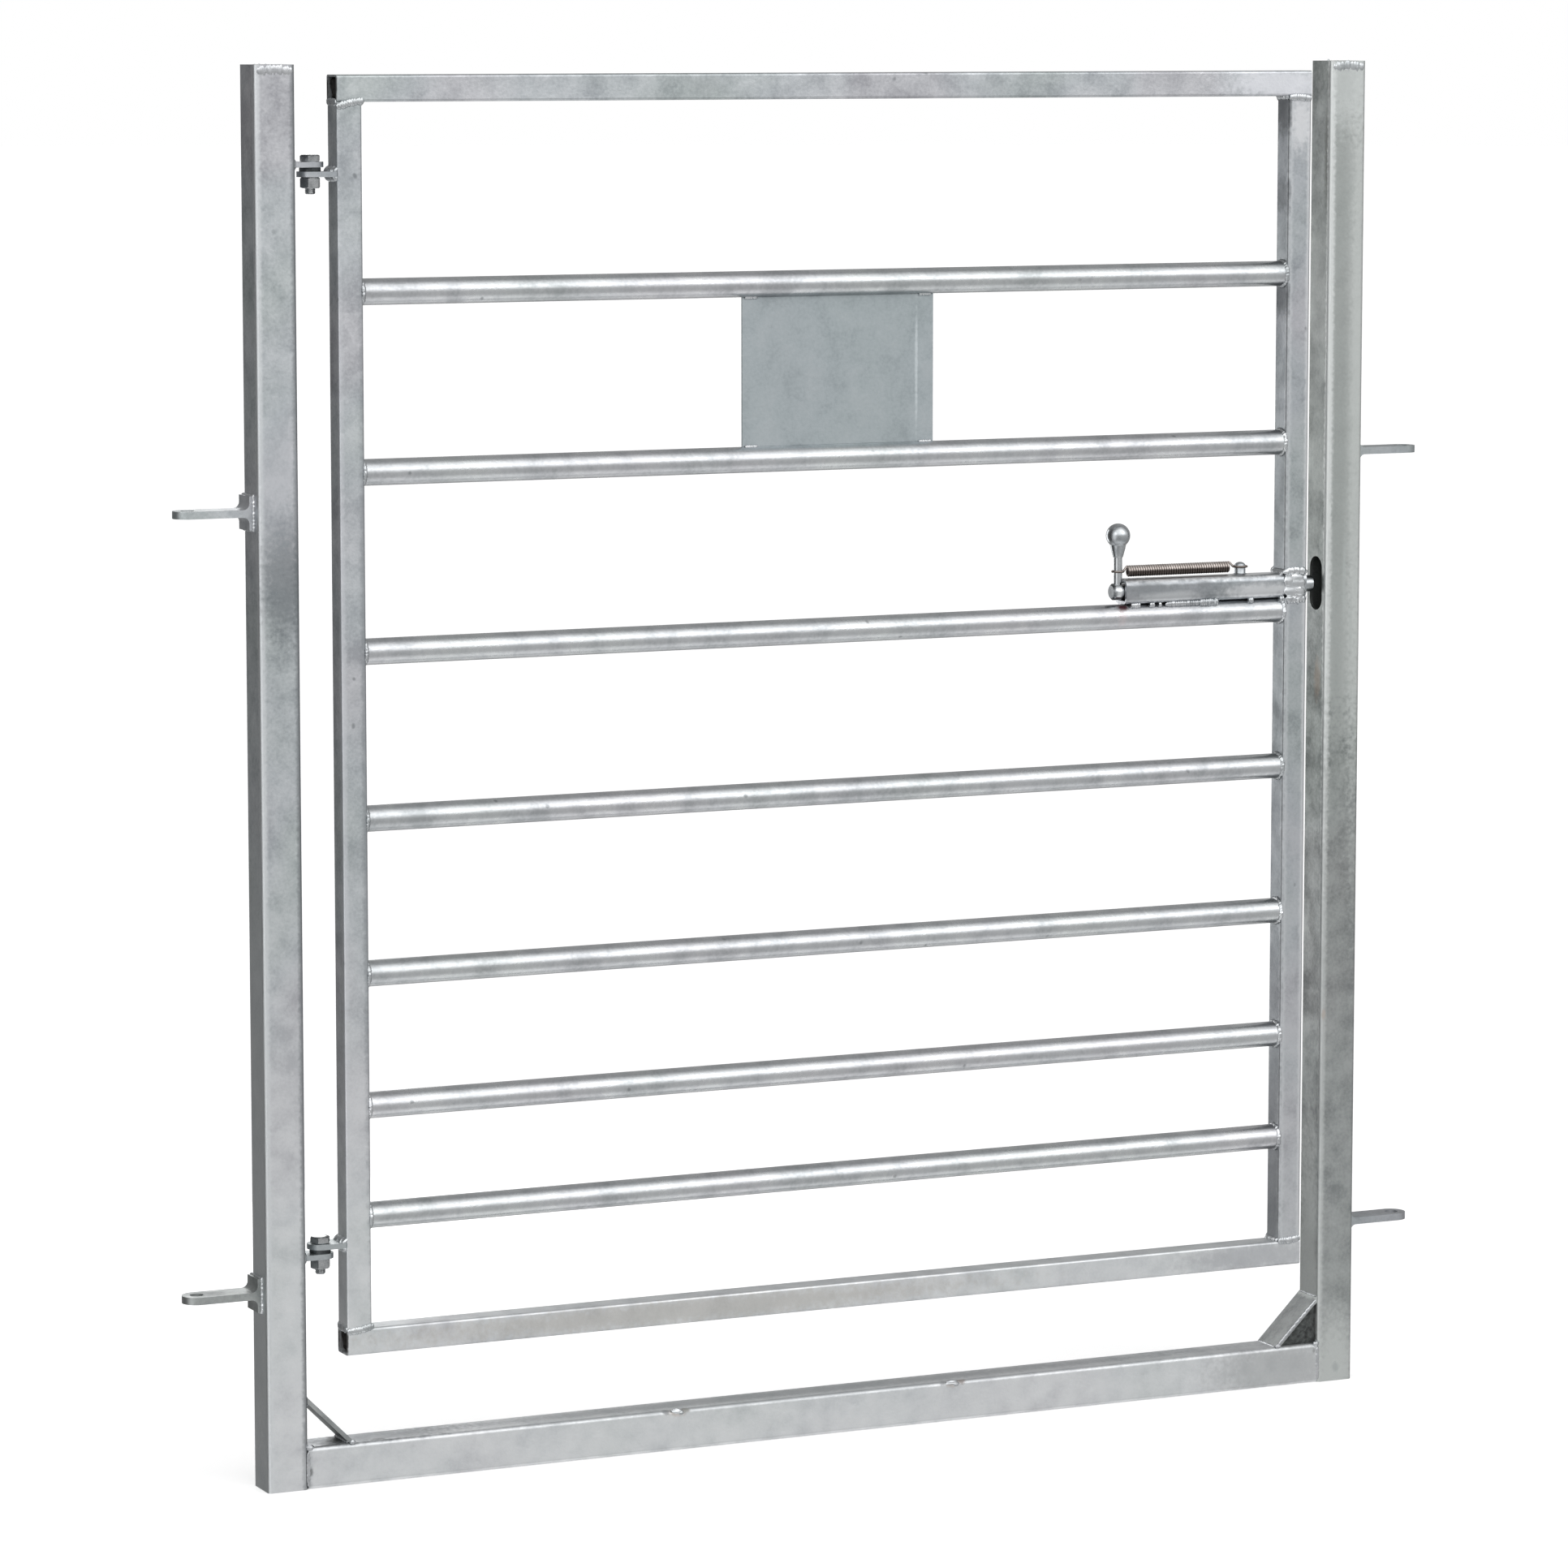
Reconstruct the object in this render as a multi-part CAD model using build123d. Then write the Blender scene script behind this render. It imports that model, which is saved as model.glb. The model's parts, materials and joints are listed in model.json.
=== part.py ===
from build123d import *
import math
import os

# Walk-through stock gate in its own frame: two posts, a ground sill, a hung leaf of
# round rails and a sprung bolt latch. Millimetres, +Z up, X along the gate with the
# hinge post at -X, the side seen in the photograph at -Y, origin under the sill's middle.

# Frame
OVERALL_WIDTH = 1170.0
OVERALL_HEIGHT = 1332.0
POST_SIDE = 40.0
POST_WALL = 3.0
POST_CORNER = 4.0
CAP_THICKNESS = 3.0
BRACE_LEG = 48.0
BRACE_THICKNESS = 4.0
BRACE_WIDTH = 36.0

# Leaf, with its rails' heights as shares of the clear height between top and bottom rail
LEAF_SIDE = 25.0
LEAF_WALL = 2.0
LEAF_CORNER = 2.5
LEAF_GROUND_GAP = 122.5
LEAF_TOP_DROP = 9.5
HINGE_GAP = 43.0
LATCH_GAP = 17.5
RAIL_DIAMETER = 25.0
RAIL_WALL = 2.0
RAIL_HEIGHT_SHARES = [0.84783, 0.70217, 0.55652, 0.42, 0.29261, 0.18348, 0.09217]
LATCH_RAIL_INDEX = 2

# Hinges
HINGE_AXIS_FROM_POST = 21.0
UPPER_HINGE_DROP = 86.5
LOWER_HINGE_RISE = 101.5
LUG_THICKNESS = 5.0
LUG_WIDTH = 25.0
LUG_GAP = 4.0
LUG_PLAY = 0.3
WASHER_DIAMETER = 20.0
BOLT_DIAMETER = 10.0
BOLT_PLAY = 0.3
BOLT_HEAD_FLATS = 17.0
BOLT_HEAD_HEIGHT = 6.5
NUT_HEIGHT = 10.0
BOLT_TAIL = 5.5
EDGE_BREAK = 1.0

# Latch
HOUSING_SIDE = 25.0
HOUSING_WALL = 3.5
HOUSING_CORNER = 2.5
HOUSING_LENGTH = 203.5
LATCH_BOLT_DIAMETER = 16.5
LATCH_BOLT_STANDOUT = 11.0
LATCH_BOLT_CHAMFER = 2.0
LATCH_TIP_CLEARANCE = 5.0
LATCH_TRAVEL = 28.0
KEEPER_WIDTH = 24.0
KEEPER_HEIGHT = 54.0
STEM_DIAMETER = 8.5
STEM_INSET = 7.5
STEM_TOP_ABOVE_BOLT = 52.0
STEM_SLOT_PLAY = 1.0
KNOB_DIAMETER = 24.0
KNOB_BANDS = 8
KNOB_CENTRE_ABOVE_BOLT = 55.5
COLLAR_TOP_DIAMETER = 16.4
COLLAR_FOOT_DIAMETER = 14.0
COLLAR_FOOT_ABOVE_BOLT = 34.0
SPRING_DIAMETER = 11.4
SPRING_WIRE = 2.2
SPRING_STEM_GAP = 9.5
SPRING_PEG_GAP = 12.0
SPRING_ABOVE_BOLT = 20.0
PEG_INSET = 69.5
PEG_DIAMETER = 11.0
PEG_HEIGHT = 12.0
PEG_DOME = 4.0
PEG_BANDS = 3
TURNED_SIDES = 32

# Sign plate
PLATE_WIDTH = 203.0
PLATE_OFFSET = 14.5
PLATE_THICKNESS = 2.0

# Link lugs on the posts' outer faces, the upper ones measured down from the posts' tops
LINK_LENGTH = 74.0
LINK_WIDTH = 28.0
LINK_THICKNESS = 7.0
LINK_HOLE_DIAMETER = 13.0
LINK_BASE_THICKNESS = 4.5
LINK_BASE_HEIGHT = 32.0
LINK_FILLET = 6.0
LINK_DEPTH_OFFSET = 6.0
LINK_LOWER_HEIGHTS = {"hinge_side": 187.0, "latch_side": 160.0}
LINK_UPPER_DROPS = {"hinge_side": 411.0, "latch_side": 388.0}

# Places that follow from the sizes above
POST_INNER_X = OVERALL_WIDTH / 2 - POST_SIDE
LEAF_LEFT = -POST_INNER_X + HINGE_GAP
LEAF_RIGHT = POST_INNER_X - LATCH_GAP
LEAF_TOP = OVERALL_HEIGHT - LEAF_TOP_DROP
STILE_BOTTOM = LEAF_GROUND_GAP + LEAF_SIDE
STILE_TOP = LEAF_TOP - LEAF_SIDE
RAIL_HEIGHTS = [STILE_BOTTOM + share * (STILE_TOP - STILE_BOTTOM) for share in RAIL_HEIGHT_SHARES]
HINGE_AXIS_X = -POST_INNER_X + HINGE_AXIS_FROM_POST
HOUSING_LEFT = LEAF_RIGHT - HOUSING_LENGTH
HOUSING_BOTTOM = RAIL_HEIGHTS[LATCH_RAIL_INDEX] + RAIL_DIAMETER / 2
HOUSING_TOP = HOUSING_BOTTOM + HOUSING_SIDE
LATCH_AXIS_HEIGHT = HOUSING_BOTTOM + HOUSING_SIDE / 2
LATCH_BOLT_LEFT = HOUSING_LEFT - LATCH_BOLT_STANDOUT
STEM_X = LATCH_BOLT_LEFT + STEM_INSET
PEG_X = LEAF_RIGHT - PEG_INSET


def tube_section(side, wall, corner):
    inner = side - 2 * wall
    return RectangleRounded(side, side, corner) - Rectangle(inner, inner)


def tube_up(side, wall, corner, x, bottom, top):
    section = tube_section(side, wall, corner)
    return extrude(Pos(x, 0, bottom) * section, amount=top - bottom)


def tube_across(side, wall, corner, z, left, right):
    section = tube_section(side, wall, corner)
    return extrude(Plane.YZ.offset(left) * (Pos(0, z) * section), amount=right - left)


def round_up(diameter, x, bottom, top):
    return extrude(Pos(x, 0, bottom) * Circle(diameter / 2), amount=top - bottom)


def round_across(diameter, z, left, right):
    return extrude(Plane.YZ.offset(left) * (Pos(0, z) * Circle(diameter / 2)), amount=right - left)


def ring_up(outer, hole, x, bottom, top):
    section = Circle(outer / 2) - Circle(hole / 2)
    return extrude(Pos(x, 0, bottom) * section, amount=top - bottom)


def hex_up(flats, x, bottom, height):
    outline = RegularPolygon(flats / 2, 6, major_radius=False)
    body = extrude(Pos(x, 0, bottom) * outline, amount=height)
    return chamfer(body.faces().sort_by(Axis.Z)[-1].edges(), EDGE_BREAK)


def crown_points(radius, end_angle, bands):
    # Radius and height of the corners on a ball's half profile, from its top down
    angles = [end_angle * band / bands for band in range(bands + 1)]
    return [(radius * math.sin(angle), radius * math.cos(angle)) for angle in angles]


def turned_up(points, x, bottom):
    # A turned piece from its half profile of radius and height, with narrow flats round it
    turns = [2 * math.pi * side / TURNED_SIDES for side in range(TURNED_SIDES + 1)]
    rings = [
        [(x + radius * math.cos(turn), radius * math.sin(turn), bottom + height) for turn in turns]
        for radius, height in points
    ]
    faces = [Face(Wire.make_polygon(rings[-1][:-1]))]
    for upper, lower in zip(rings, rings[1:]):
        for side in range(TURNED_SIDES):
            corners = [lower[side], lower[side + 1], upper[side + 1], upper[side]]
            if upper is rings[0]:
                corners = corners[:-1]
            faces.append(Face(Wire.make_polygon(corners)))
    return Solid(Shell(faces))


def eye_plate(root_x, axis_x, width, bottom, thickness, hole):
    reach = abs(axis_x - root_x)
    bar = Pos((root_x + axis_x) / 2, 0) * Rectangle(reach, width)
    eye = Pos(axis_x, 0) * Circle(width / 2)
    bore = Pos(axis_x, 0) * Circle(hole / 2)
    return extrude(Pos(0, 0, bottom) * (bar + eye - bore), amount=thickness)


def corner_brace(side):
    slant = BRACE_THICKNESS * math.sqrt(2)
    foot_x = side * POST_INNER_X
    outline = Polyline(
        (foot_x, POST_SIDE + BRACE_LEG),
        (foot_x - side * BRACE_LEG, POST_SIDE),
        (foot_x - side * (BRACE_LEG - slant), POST_SIDE),
        (foot_x, POST_SIDE + BRACE_LEG - slant),
        close=True,
    )
    face = make_face(Plane.XZ * outline)
    return extrude(face, amount=BRACE_WIDTH / 2, both=True)


def link_lug(side, height):
    root = side * OVERALL_WIDTH / 2
    base_face = root + side * LINK_BASE_THICKNESS
    eye_x = root + side * (LINK_LENGTH - LINK_WIDTH / 2)
    base = Pos((root + base_face) / 2, LINK_DEPTH_OFFSET, height) * Box(
        LINK_BASE_THICKNESS, LINK_WIDTH, LINK_BASE_HEIGHT
    )
    arm = Pos(0, LINK_DEPTH_OFFSET) * eye_plate(
        base_face, eye_x, LINK_WIDTH, height - LINK_THICKNESS / 2, LINK_THICKNESS, LINK_HOLE_DIAMETER
    )
    lug = base + arm
    corners = [
        edge
        for edge in lug.edges().filter_by(Axis.Y)
        if abs(edge.center().X - base_face) < LINK_BASE_THICKNESS / 2
        and abs(edge.center().Z - height) < LINK_THICKNESS
    ]
    return fillet(corners, LINK_FILLET)


def post_cap(x, bottom):
    section = RectangleRounded(POST_SIDE, POST_SIDE, POST_CORNER)
    return extrude(Pos(x, 0, bottom) * section, amount=CAP_THICKNESS)


parts = {}

# Fixed frame
tube_top = OVERALL_HEIGHT - CAP_THICKNESS
post_x = OVERALL_WIDTH / 2 - POST_SIDE / 2
parts["hinge_post"] = tube_up(POST_SIDE, POST_WALL, POST_CORNER, -post_x, 0, tube_top)
keeper = extrude(
    Plane.YZ.offset(POST_INNER_X - POST_WALL)
    * (Pos(0, LATCH_AXIS_HEIGHT) * SlotOverall(KEEPER_HEIGHT, KEEPER_WIDTH, rotation=90)),
    amount=POST_WALL + POST_SIDE / 2,
)
parts["latch_post"] = tube_up(POST_SIDE, POST_WALL, POST_CORNER, post_x, 0, tube_top) - keeper
parts["ground_sill"] = tube_across(
    POST_SIDE, POST_WALL, POST_CORNER, POST_SIDE / 2, -POST_INNER_X, POST_INNER_X
)
parts["hinge_post_cap"] = post_cap(-post_x, tube_top)
parts["latch_post_cap"] = post_cap(post_x, tube_top)
for name, side in (("hinge", -1), ("latch", 1)):
    parts[name + "_corner_brace"] = corner_brace(side)
    edge_name = name + "_side"
    upper_height = OVERALL_HEIGHT - LINK_UPPER_DROPS[edge_name]
    parts[edge_name + "_lower_link_lug"] = link_lug(side, LINK_LOWER_HEIGHTS[edge_name])
    parts[edge_name + "_upper_link_lug"] = link_lug(side, upper_height)

# Hinges: the upper post lug lies over the leaf's lug, the lower one under it, so the
# leaf stands on the lower pair and can't be lifted off the upper one. A washer lies on
# the lower lug of each pair
leaf_hole = BOLT_DIAMETER + 2 * BOLT_PLAY
hinge_levels = {
    "upper": (LEAF_TOP - UPPER_HINGE_DROP, "leaf", "post"),
    "lower": (LEAF_GROUND_GAP + LOWER_HINGE_RISE, "post", "leaf"),
}
lug_roots = {"post": (-POST_INNER_X, BOLT_DIAMETER), "leaf": (LEAF_LEFT, leaf_hole)}
for level, (middle, under, over) in hinge_levels.items():
    gap_bottom = middle - LUG_GAP / 2
    gap_top = middle + LUG_GAP / 2
    for owner, bottom in ((under, gap_bottom - LUG_THICKNESS), (over, gap_top)):
        root_x, hole = lug_roots[owner]
        parts[level + "_" + owner + "_lug"] = eye_plate(
            root_x, HINGE_AXIS_X, LUG_WIDTH, bottom, LUG_THICKNESS, hole
        )
    washer_hole = lug_roots[under][1]
    parts[level + "_hinge_washer"] = ring_up(
        WASHER_DIAMETER, washer_hole, HINGE_AXIS_X, gap_bottom, gap_top - LUG_PLAY
    )
    head_play = LUG_PLAY if over == "leaf" else 0
    nut_play = LUG_PLAY if under == "leaf" else 0
    head_bottom = gap_top + LUG_THICKNESS + head_play
    nut_top = gap_bottom - LUG_THICKNESS - nut_play
    nut_bottom = nut_top - NUT_HEIGHT
    shank = round_up(BOLT_DIAMETER, HINGE_AXIS_X, nut_bottom - BOLT_TAIL, head_bottom)
    shank = chamfer(shank.edges().sort_by(Axis.Z)[0], EDGE_BREAK)
    head = hex_up(BOLT_HEAD_FLATS, HINGE_AXIS_X, head_bottom, BOLT_HEAD_HEIGHT)
    parts[level + "_hinge_bolt"] = shank + head
    nut = hex_up(BOLT_HEAD_FLATS, HINGE_AXIS_X, nut_bottom, NUT_HEIGHT)
    parts[level + "_hinge_nut"] = nut - round_up(BOLT_DIAMETER, HINGE_AXIS_X, nut_bottom, nut_top)

# Leaf
hinge_stile_x = LEAF_LEFT + LEAF_SIDE / 2
latch_stile_x = LEAF_RIGHT - LEAF_SIDE / 2
leaf_tube = (LEAF_SIDE, LEAF_WALL, LEAF_CORNER)
bottom_rail_z = LEAF_GROUND_GAP + LEAF_SIDE / 2
parts["leaf_top_rail"] = tube_across(*leaf_tube, LEAF_TOP - LEAF_SIDE / 2, LEAF_LEFT, LEAF_RIGHT)
parts["leaf_bottom_rail"] = tube_across(*leaf_tube, bottom_rail_z, LEAF_LEFT, LEAF_RIGHT)
parts["hinge_stile"] = tube_up(*leaf_tube, hinge_stile_x, STILE_BOTTOM, STILE_TOP)
parts["lower_latch_stile"] = tube_up(*leaf_tube, latch_stile_x, STILE_BOTTOM, HOUSING_BOTTOM)
parts["upper_latch_stile"] = tube_up(*leaf_tube, latch_stile_x, HOUSING_TOP, STILE_TOP)
for number, height in enumerate(RAIL_HEIGHTS, start=1):
    outside = round_across(RAIL_DIAMETER, height, LEAF_LEFT + LEAF_SIDE, LEAF_RIGHT - LEAF_SIDE)
    bore = round_across(RAIL_DIAMETER - 2 * RAIL_WALL, height, LEAF_LEFT, LEAF_RIGHT)
    parts["rail_" + str(number)] = outside - bore
plate_bottom = RAIL_HEIGHTS[1] + RAIL_DIAMETER / 2
plate_top = RAIL_HEIGHTS[0] - RAIL_DIAMETER / 2
parts["sign_plate"] = Pos(PLATE_OFFSET, 0, (plate_bottom + plate_top) / 2) * Box(
    PLATE_WIDTH, PLATE_THICKNESS, plate_top - plate_bottom
)

# Latch: a round bolt in a square housing that runs through the cut latch stile. The
# handle's stem rides in an open slot in the housing's top and a spring draws it to the peg
housing = tube_across(
    HOUSING_SIDE, HOUSING_WALL, HOUSING_CORNER, LATCH_AXIS_HEIGHT, HOUSING_LEFT, LEAF_RIGHT
)
slot_half = STEM_DIAMETER / 2 + STEM_SLOT_PLAY
slot_end = STEM_X + LATCH_TRAVEL
slot_sketch = Pos((HOUSING_LEFT + slot_end) / 2, 0) * Rectangle(slot_end - HOUSING_LEFT, 2 * slot_half)
slot_sketch += Pos(slot_end, 0) * Circle(slot_half)
stem_slot = extrude(Pos(0, 0, LATCH_AXIS_HEIGHT) * slot_sketch, amount=HOUSING_SIDE)
parts["latch_housing"] = housing - stem_slot

peg_radius = PEG_DIAMETER / 2
dome_radius = (peg_radius ** 2 + PEG_DOME ** 2) / (2 * PEG_DOME)
dome = crown_points(dome_radius, math.asin(peg_radius / dome_radius), PEG_BANDS)
peg_points = [(radius, height + PEG_HEIGHT - dome_radius) for radius, height in dome]
peg_points += [(peg_radius, 0)]
parts["spring_peg"] = turned_up(peg_points, PEG_X, HOUSING_TOP)

tip_x = POST_INNER_X - LATCH_TIP_CLEARANCE
latch_bolt = round_across(LATCH_BOLT_DIAMETER, LATCH_AXIS_HEIGHT, LATCH_BOLT_LEFT, tip_x)
latch_bolt = chamfer(latch_bolt.edges().filter_by(GeomType.CIRCLE), LATCH_BOLT_CHAMFER)
stem = round_up(STEM_DIAMETER, STEM_X, LATCH_AXIS_HEIGHT, LATCH_AXIS_HEIGHT + STEM_TOP_ABOVE_BOLT)
parts["latch_bolt"] = latch_bolt - stem
parts["handle_stem"] = stem

# The ball and its collar are turned in one, with a blind bore for the stem
collar_foot = COLLAR_FOOT_ABOVE_BOLT - KNOB_CENTRE_ABOVE_BOLT
neck_angle = math.pi - math.asin(COLLAR_TOP_DIAMETER / KNOB_DIAMETER)
knob_points = crown_points(KNOB_DIAMETER / 2, neck_angle, KNOB_BANDS)
knob_points += [(COLLAR_FOOT_DIAMETER / 2, collar_foot)]
parts["handle_knob"] = turned_up(knob_points, STEM_X, LATCH_AXIS_HEIGHT + KNOB_CENTRE_ABOVE_BOLT) - stem

spring_z = LATCH_AXIS_HEIGHT + SPRING_ABOVE_BOLT
spring_left = STEM_X + SPRING_STEM_GAP
spring_right = PEG_X - SPRING_PEG_GAP
spring = round_across(SPRING_DIAMETER, spring_z, spring_left, spring_right)
spring -= round_across(SPRING_DIAMETER - 2 * SPRING_WIRE, spring_z, spring_left, spring_right)
stem_side = STEM_X + STEM_DIAMETER / 2
peg_side = PEG_X - PEG_DIAMETER / 2
for hook_left, hook_right, bar_x in (
    (stem_side, spring_left + SPRING_WIRE, spring_left + SPRING_WIRE / 2),
    (spring_right - SPRING_WIRE, peg_side, spring_right - SPRING_WIRE / 2),
):
    bar = Pos(bar_x, 0, spring_z) * Box(SPRING_WIRE, SPRING_WIRE, SPRING_DIAMETER - SPRING_WIRE)
    spring += round_across(SPRING_WIRE, spring_z, hook_left, hook_right) + bar
parts["latch_spring"] = spring

os.makedirs("parts", exist_ok=True)
for node, solid in parts.items():
    solid.label = node
    export_step(solid, "parts/" + node + ".step")
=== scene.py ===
import json
import math
from collections import Counter

import bpy
import numpy as np
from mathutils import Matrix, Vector


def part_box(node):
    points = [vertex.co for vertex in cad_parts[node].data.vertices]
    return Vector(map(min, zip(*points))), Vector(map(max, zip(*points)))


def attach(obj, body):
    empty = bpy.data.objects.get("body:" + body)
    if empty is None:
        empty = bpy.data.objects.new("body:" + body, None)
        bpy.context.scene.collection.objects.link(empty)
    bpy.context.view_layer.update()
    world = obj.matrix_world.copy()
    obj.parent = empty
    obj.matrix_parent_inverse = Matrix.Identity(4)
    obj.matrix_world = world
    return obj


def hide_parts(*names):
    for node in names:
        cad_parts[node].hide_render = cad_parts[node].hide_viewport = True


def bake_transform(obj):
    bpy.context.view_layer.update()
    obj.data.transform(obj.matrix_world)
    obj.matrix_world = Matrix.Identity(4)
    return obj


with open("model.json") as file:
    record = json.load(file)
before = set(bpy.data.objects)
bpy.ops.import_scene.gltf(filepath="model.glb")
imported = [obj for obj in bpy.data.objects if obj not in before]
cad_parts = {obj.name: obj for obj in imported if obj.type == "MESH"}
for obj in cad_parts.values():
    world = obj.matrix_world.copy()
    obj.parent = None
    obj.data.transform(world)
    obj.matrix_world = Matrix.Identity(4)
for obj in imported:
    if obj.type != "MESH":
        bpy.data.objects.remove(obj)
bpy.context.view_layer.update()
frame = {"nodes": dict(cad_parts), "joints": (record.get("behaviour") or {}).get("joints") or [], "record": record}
scene = bpy.context.scene
scene.view_settings.view_transform = "Standard"

# Sizes are in millimetres here and become metres where a mesh is made
MM = 0.001


def box_mm(node):
    """Lowest and highest corner of a CAD node, in millimetres."""
    low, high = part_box(node)
    return np.array(low) / MM, np.array(high) / MM


# Surfaces

def skin(rows, ring=False):
    """Closed skin over a grid of points: rows[i, j] joins rows[i + 1, j] and rows[i, j + 1], and j
    runs round. The first and last row are closed by a flat face, or joined to each other in a ring.
    Returns the points and the faces, turned to point outwards by the sign of the volume."""
    rows = np.asarray(rows, float)
    count, sides = rows.shape[:2]
    index = np.arange(count * sides).reshape(count, sides)
    upper = index if ring else index[:-1]
    lower = np.roll(index, -1, 0) if ring else index[1:]
    quads = np.stack([upper, lower, np.roll(lower, -1, 1), np.roll(upper, -1, 1)], -1).reshape(-1, 4)
    faces = quads.tolist()
    points = rows.reshape(-1, 3)
    if not ring:
        faces += [index[0].tolist(), index[-1][::-1].tolist()]
    local = points - points.mean(0)
    a, b, c, d = (local[quads[:, k]] for k in range(4))
    volume = (np.cross(a, b) * c).sum() + (np.cross(a, c) * d).sum()
    if not ring:
        for end in (index[0], index[-1][::-1]):
            edge = local[end]
            volume += (np.cross(edge[:-1], edge[1:]) * edge.mean(0)).sum()
            volume += (np.cross(edge[-1], edge[0]) * edge.mean(0)).sum()
    if volume < 0:
        faces = [face[::-1] for face in faces]
    return points, faces


def piece(name, skins, material, body, sharp=35.0):
    """One object from several closed skins, at the origin with its place in its mesh."""
    points, faces, start = [], [], 0
    for skin_points, skin_faces in skins:
        points.append(skin_points)
        faces += [[corner + start for corner in face] for face in skin_faces]
        start += len(skin_points)
    mesh = bpy.data.meshes.new(name)
    mesh.from_pydata((np.concatenate(points) * MM).tolist(), [], faces)
    mesh.polygons.foreach_set("use_smooth", np.ones(len(mesh.polygons), bool))
    mesh.set_sharp_from_angle(angle=math.radians(sharp))
    mesh.update()
    thing = bpy.data.objects.new(name, mesh)
    scene.collection.objects.link(thing)
    thing.data.materials.append(material)
    if body:
        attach(thing, body)
    return thing


def along(path, step, ring=False):
    """Points at even steps along a path of straight runs, by its length."""
    path = np.asarray(path, float)
    if ring:
        path = np.vstack([path, path[:1]])
    lengths = np.r_[0, np.cumsum(np.linalg.norm(np.diff(path, axis=0), axis=1))]
    count = max(int(lengths[-1] / step), 6)
    places = np.linspace(0, lengths[-1], count, endpoint=not ring)
    return np.stack([np.interp(places, lengths, path[:, k]) for k in range(3)], -1), places, lengths[-1]


def unit(vectors):
    return vectors / np.linalg.norm(vectors, axis=-1, keepdims=True)


def wobble(places, seed, length=9.0):
    """Slow uneven wave between about -1 and 1, the sum of three sines of unrelated lengths."""
    turn = np.random.default_rng(seed).uniform(0, 2 * math.pi, 3)
    waves = np.array([1.0, 0.61, 0.37]) * length
    return sum(np.sin(2 * math.pi * places / wave + t) for wave, t in zip(waves, turn)) / 2.2


def bead(path, out, wide, high, seed=1, ring=False, ripple=2.4, uneven=0.13, step=0.5, sides=14):
    """Weld bead: an ellipse of half width wide and half height high carried along the path, its size
    1 + 0.1 sin(2 pi s / ripple - 1.3 cos p) + uneven wobble(s), so the ripples bow as a weld pool's do,
    and drawn in at both ends. out is the way the bead stands off, at one or all points of the path."""
    centre, places, length = along(path, step, ring)
    out = np.asarray(out, float)
    if out.ndim == 2:
        knots = np.vstack([path, path[:1]]) if ring else np.asarray(path, float)
        outs = np.vstack([out, out[:1]]) if ring else out
        at = np.r_[0, np.cumsum(np.linalg.norm(np.diff(knots, axis=0), axis=1))]
        out = np.stack([np.interp(places, at, outs[:, k]) for k in range(3)], -1)
    ahead = np.roll(centre, -1, 0) - np.roll(centre, 1, 0)
    if not ring:
        ahead[0], ahead[-1] = centre[1] - centre[0], centre[-1] - centre[-2]
    ahead = unit(ahead)
    up = np.broadcast_to(out, centre.shape)
    up = unit(up - (up * ahead).sum(-1, keepdims=True) * ahead)
    across = np.cross(ahead, up)
    turn = np.linspace(0, 2 * math.pi, sides, endpoint=False)
    s = places[:, None]
    size = 1 + 0.1 * np.sin(2 * math.pi * s / ripple - 1.3 * np.cos(turn)) + uneven * wobble(s, seed)
    if not ring:
        size = size * np.maximum(1 - np.abs(2 * s / length - 1) ** 8, 0.0025) ** 0.5
    side = np.cos(turn) * size * wide
    rise = np.sin(turn) * size * high
    return skin(centre[:, None] + side[..., None] * across[:, None] + rise[..., None] * up[:, None], ring)


def turned(profile, x, y, sides=64, outline=None):
    """Turned piece: profile rows of radius and height go round an upright axis at x, y. outline(angle)
    gives the largest radius at an angle, so a hexagon is min(radius, outline)."""
    profile = np.asarray(profile, float)
    turn = np.linspace(0, 2 * math.pi, sides, endpoint=False)
    radius = profile[:, :1] * np.ones(sides)
    if outline is not None:
        radius = np.minimum(radius, outline(turn))
    height = profile[:, 1:2] * np.ones(sides)
    return skin(np.stack([x + radius * np.cos(turn), y + radius * np.sin(turn), height], -1))


def wire(centre, side_hint, radius, sides=10):
    """Round wire: a circle of the given radius carried along the centre line, its first axis as near to
    side_hint as the line's direction allows."""
    ahead = unit(np.gradient(centre, axis=0))
    first = unit(side_hint - (side_hint * ahead).sum(-1, keepdims=True) * ahead)
    second = np.cross(ahead, first)
    turn = np.linspace(0, 2 * math.pi, sides, endpoint=False)[:, None]
    ringed = np.cos(turn) * first[:, None] + np.sin(turn) * second[:, None]
    return skin(centre[:, None] + radius * ringed)


def lump(centre, sizes, seed, sides=20, rows=14):
    """Lump of zinc: an ellipsoid with half sizes sizes, swollen by 1 + 0.12 wobble of both angles."""
    a = np.linspace(0.04, math.pi - 0.04, rows)[:, None]
    b = np.linspace(0, 2 * math.pi, sides, endpoint=False)
    swell = 1 + 0.12 * wobble(3 * a, seed, 4.0) * np.ones(sides) + 0.08 * np.cos(2 * b + seed) * np.sin(a)
    ball = np.stack([np.sin(a) * np.cos(b), np.sin(a) * np.sin(b), np.cos(a) * np.ones(sides)], -1)
    return skin(np.asarray(centre) + ball * swell[..., None] * np.asarray(sizes))


# Finishes

def colour(code):
    """sRGB hex to linear red, green, blue and an opaque alpha."""
    parts = [int(code[k:k + 2], 16) / 255 for k in (1, 3, 5)]
    return [p / 12.92 if p <= 0.04045 else ((p + 0.055) / 1.055) ** 2.4 for p in parts] + [1.0]


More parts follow.
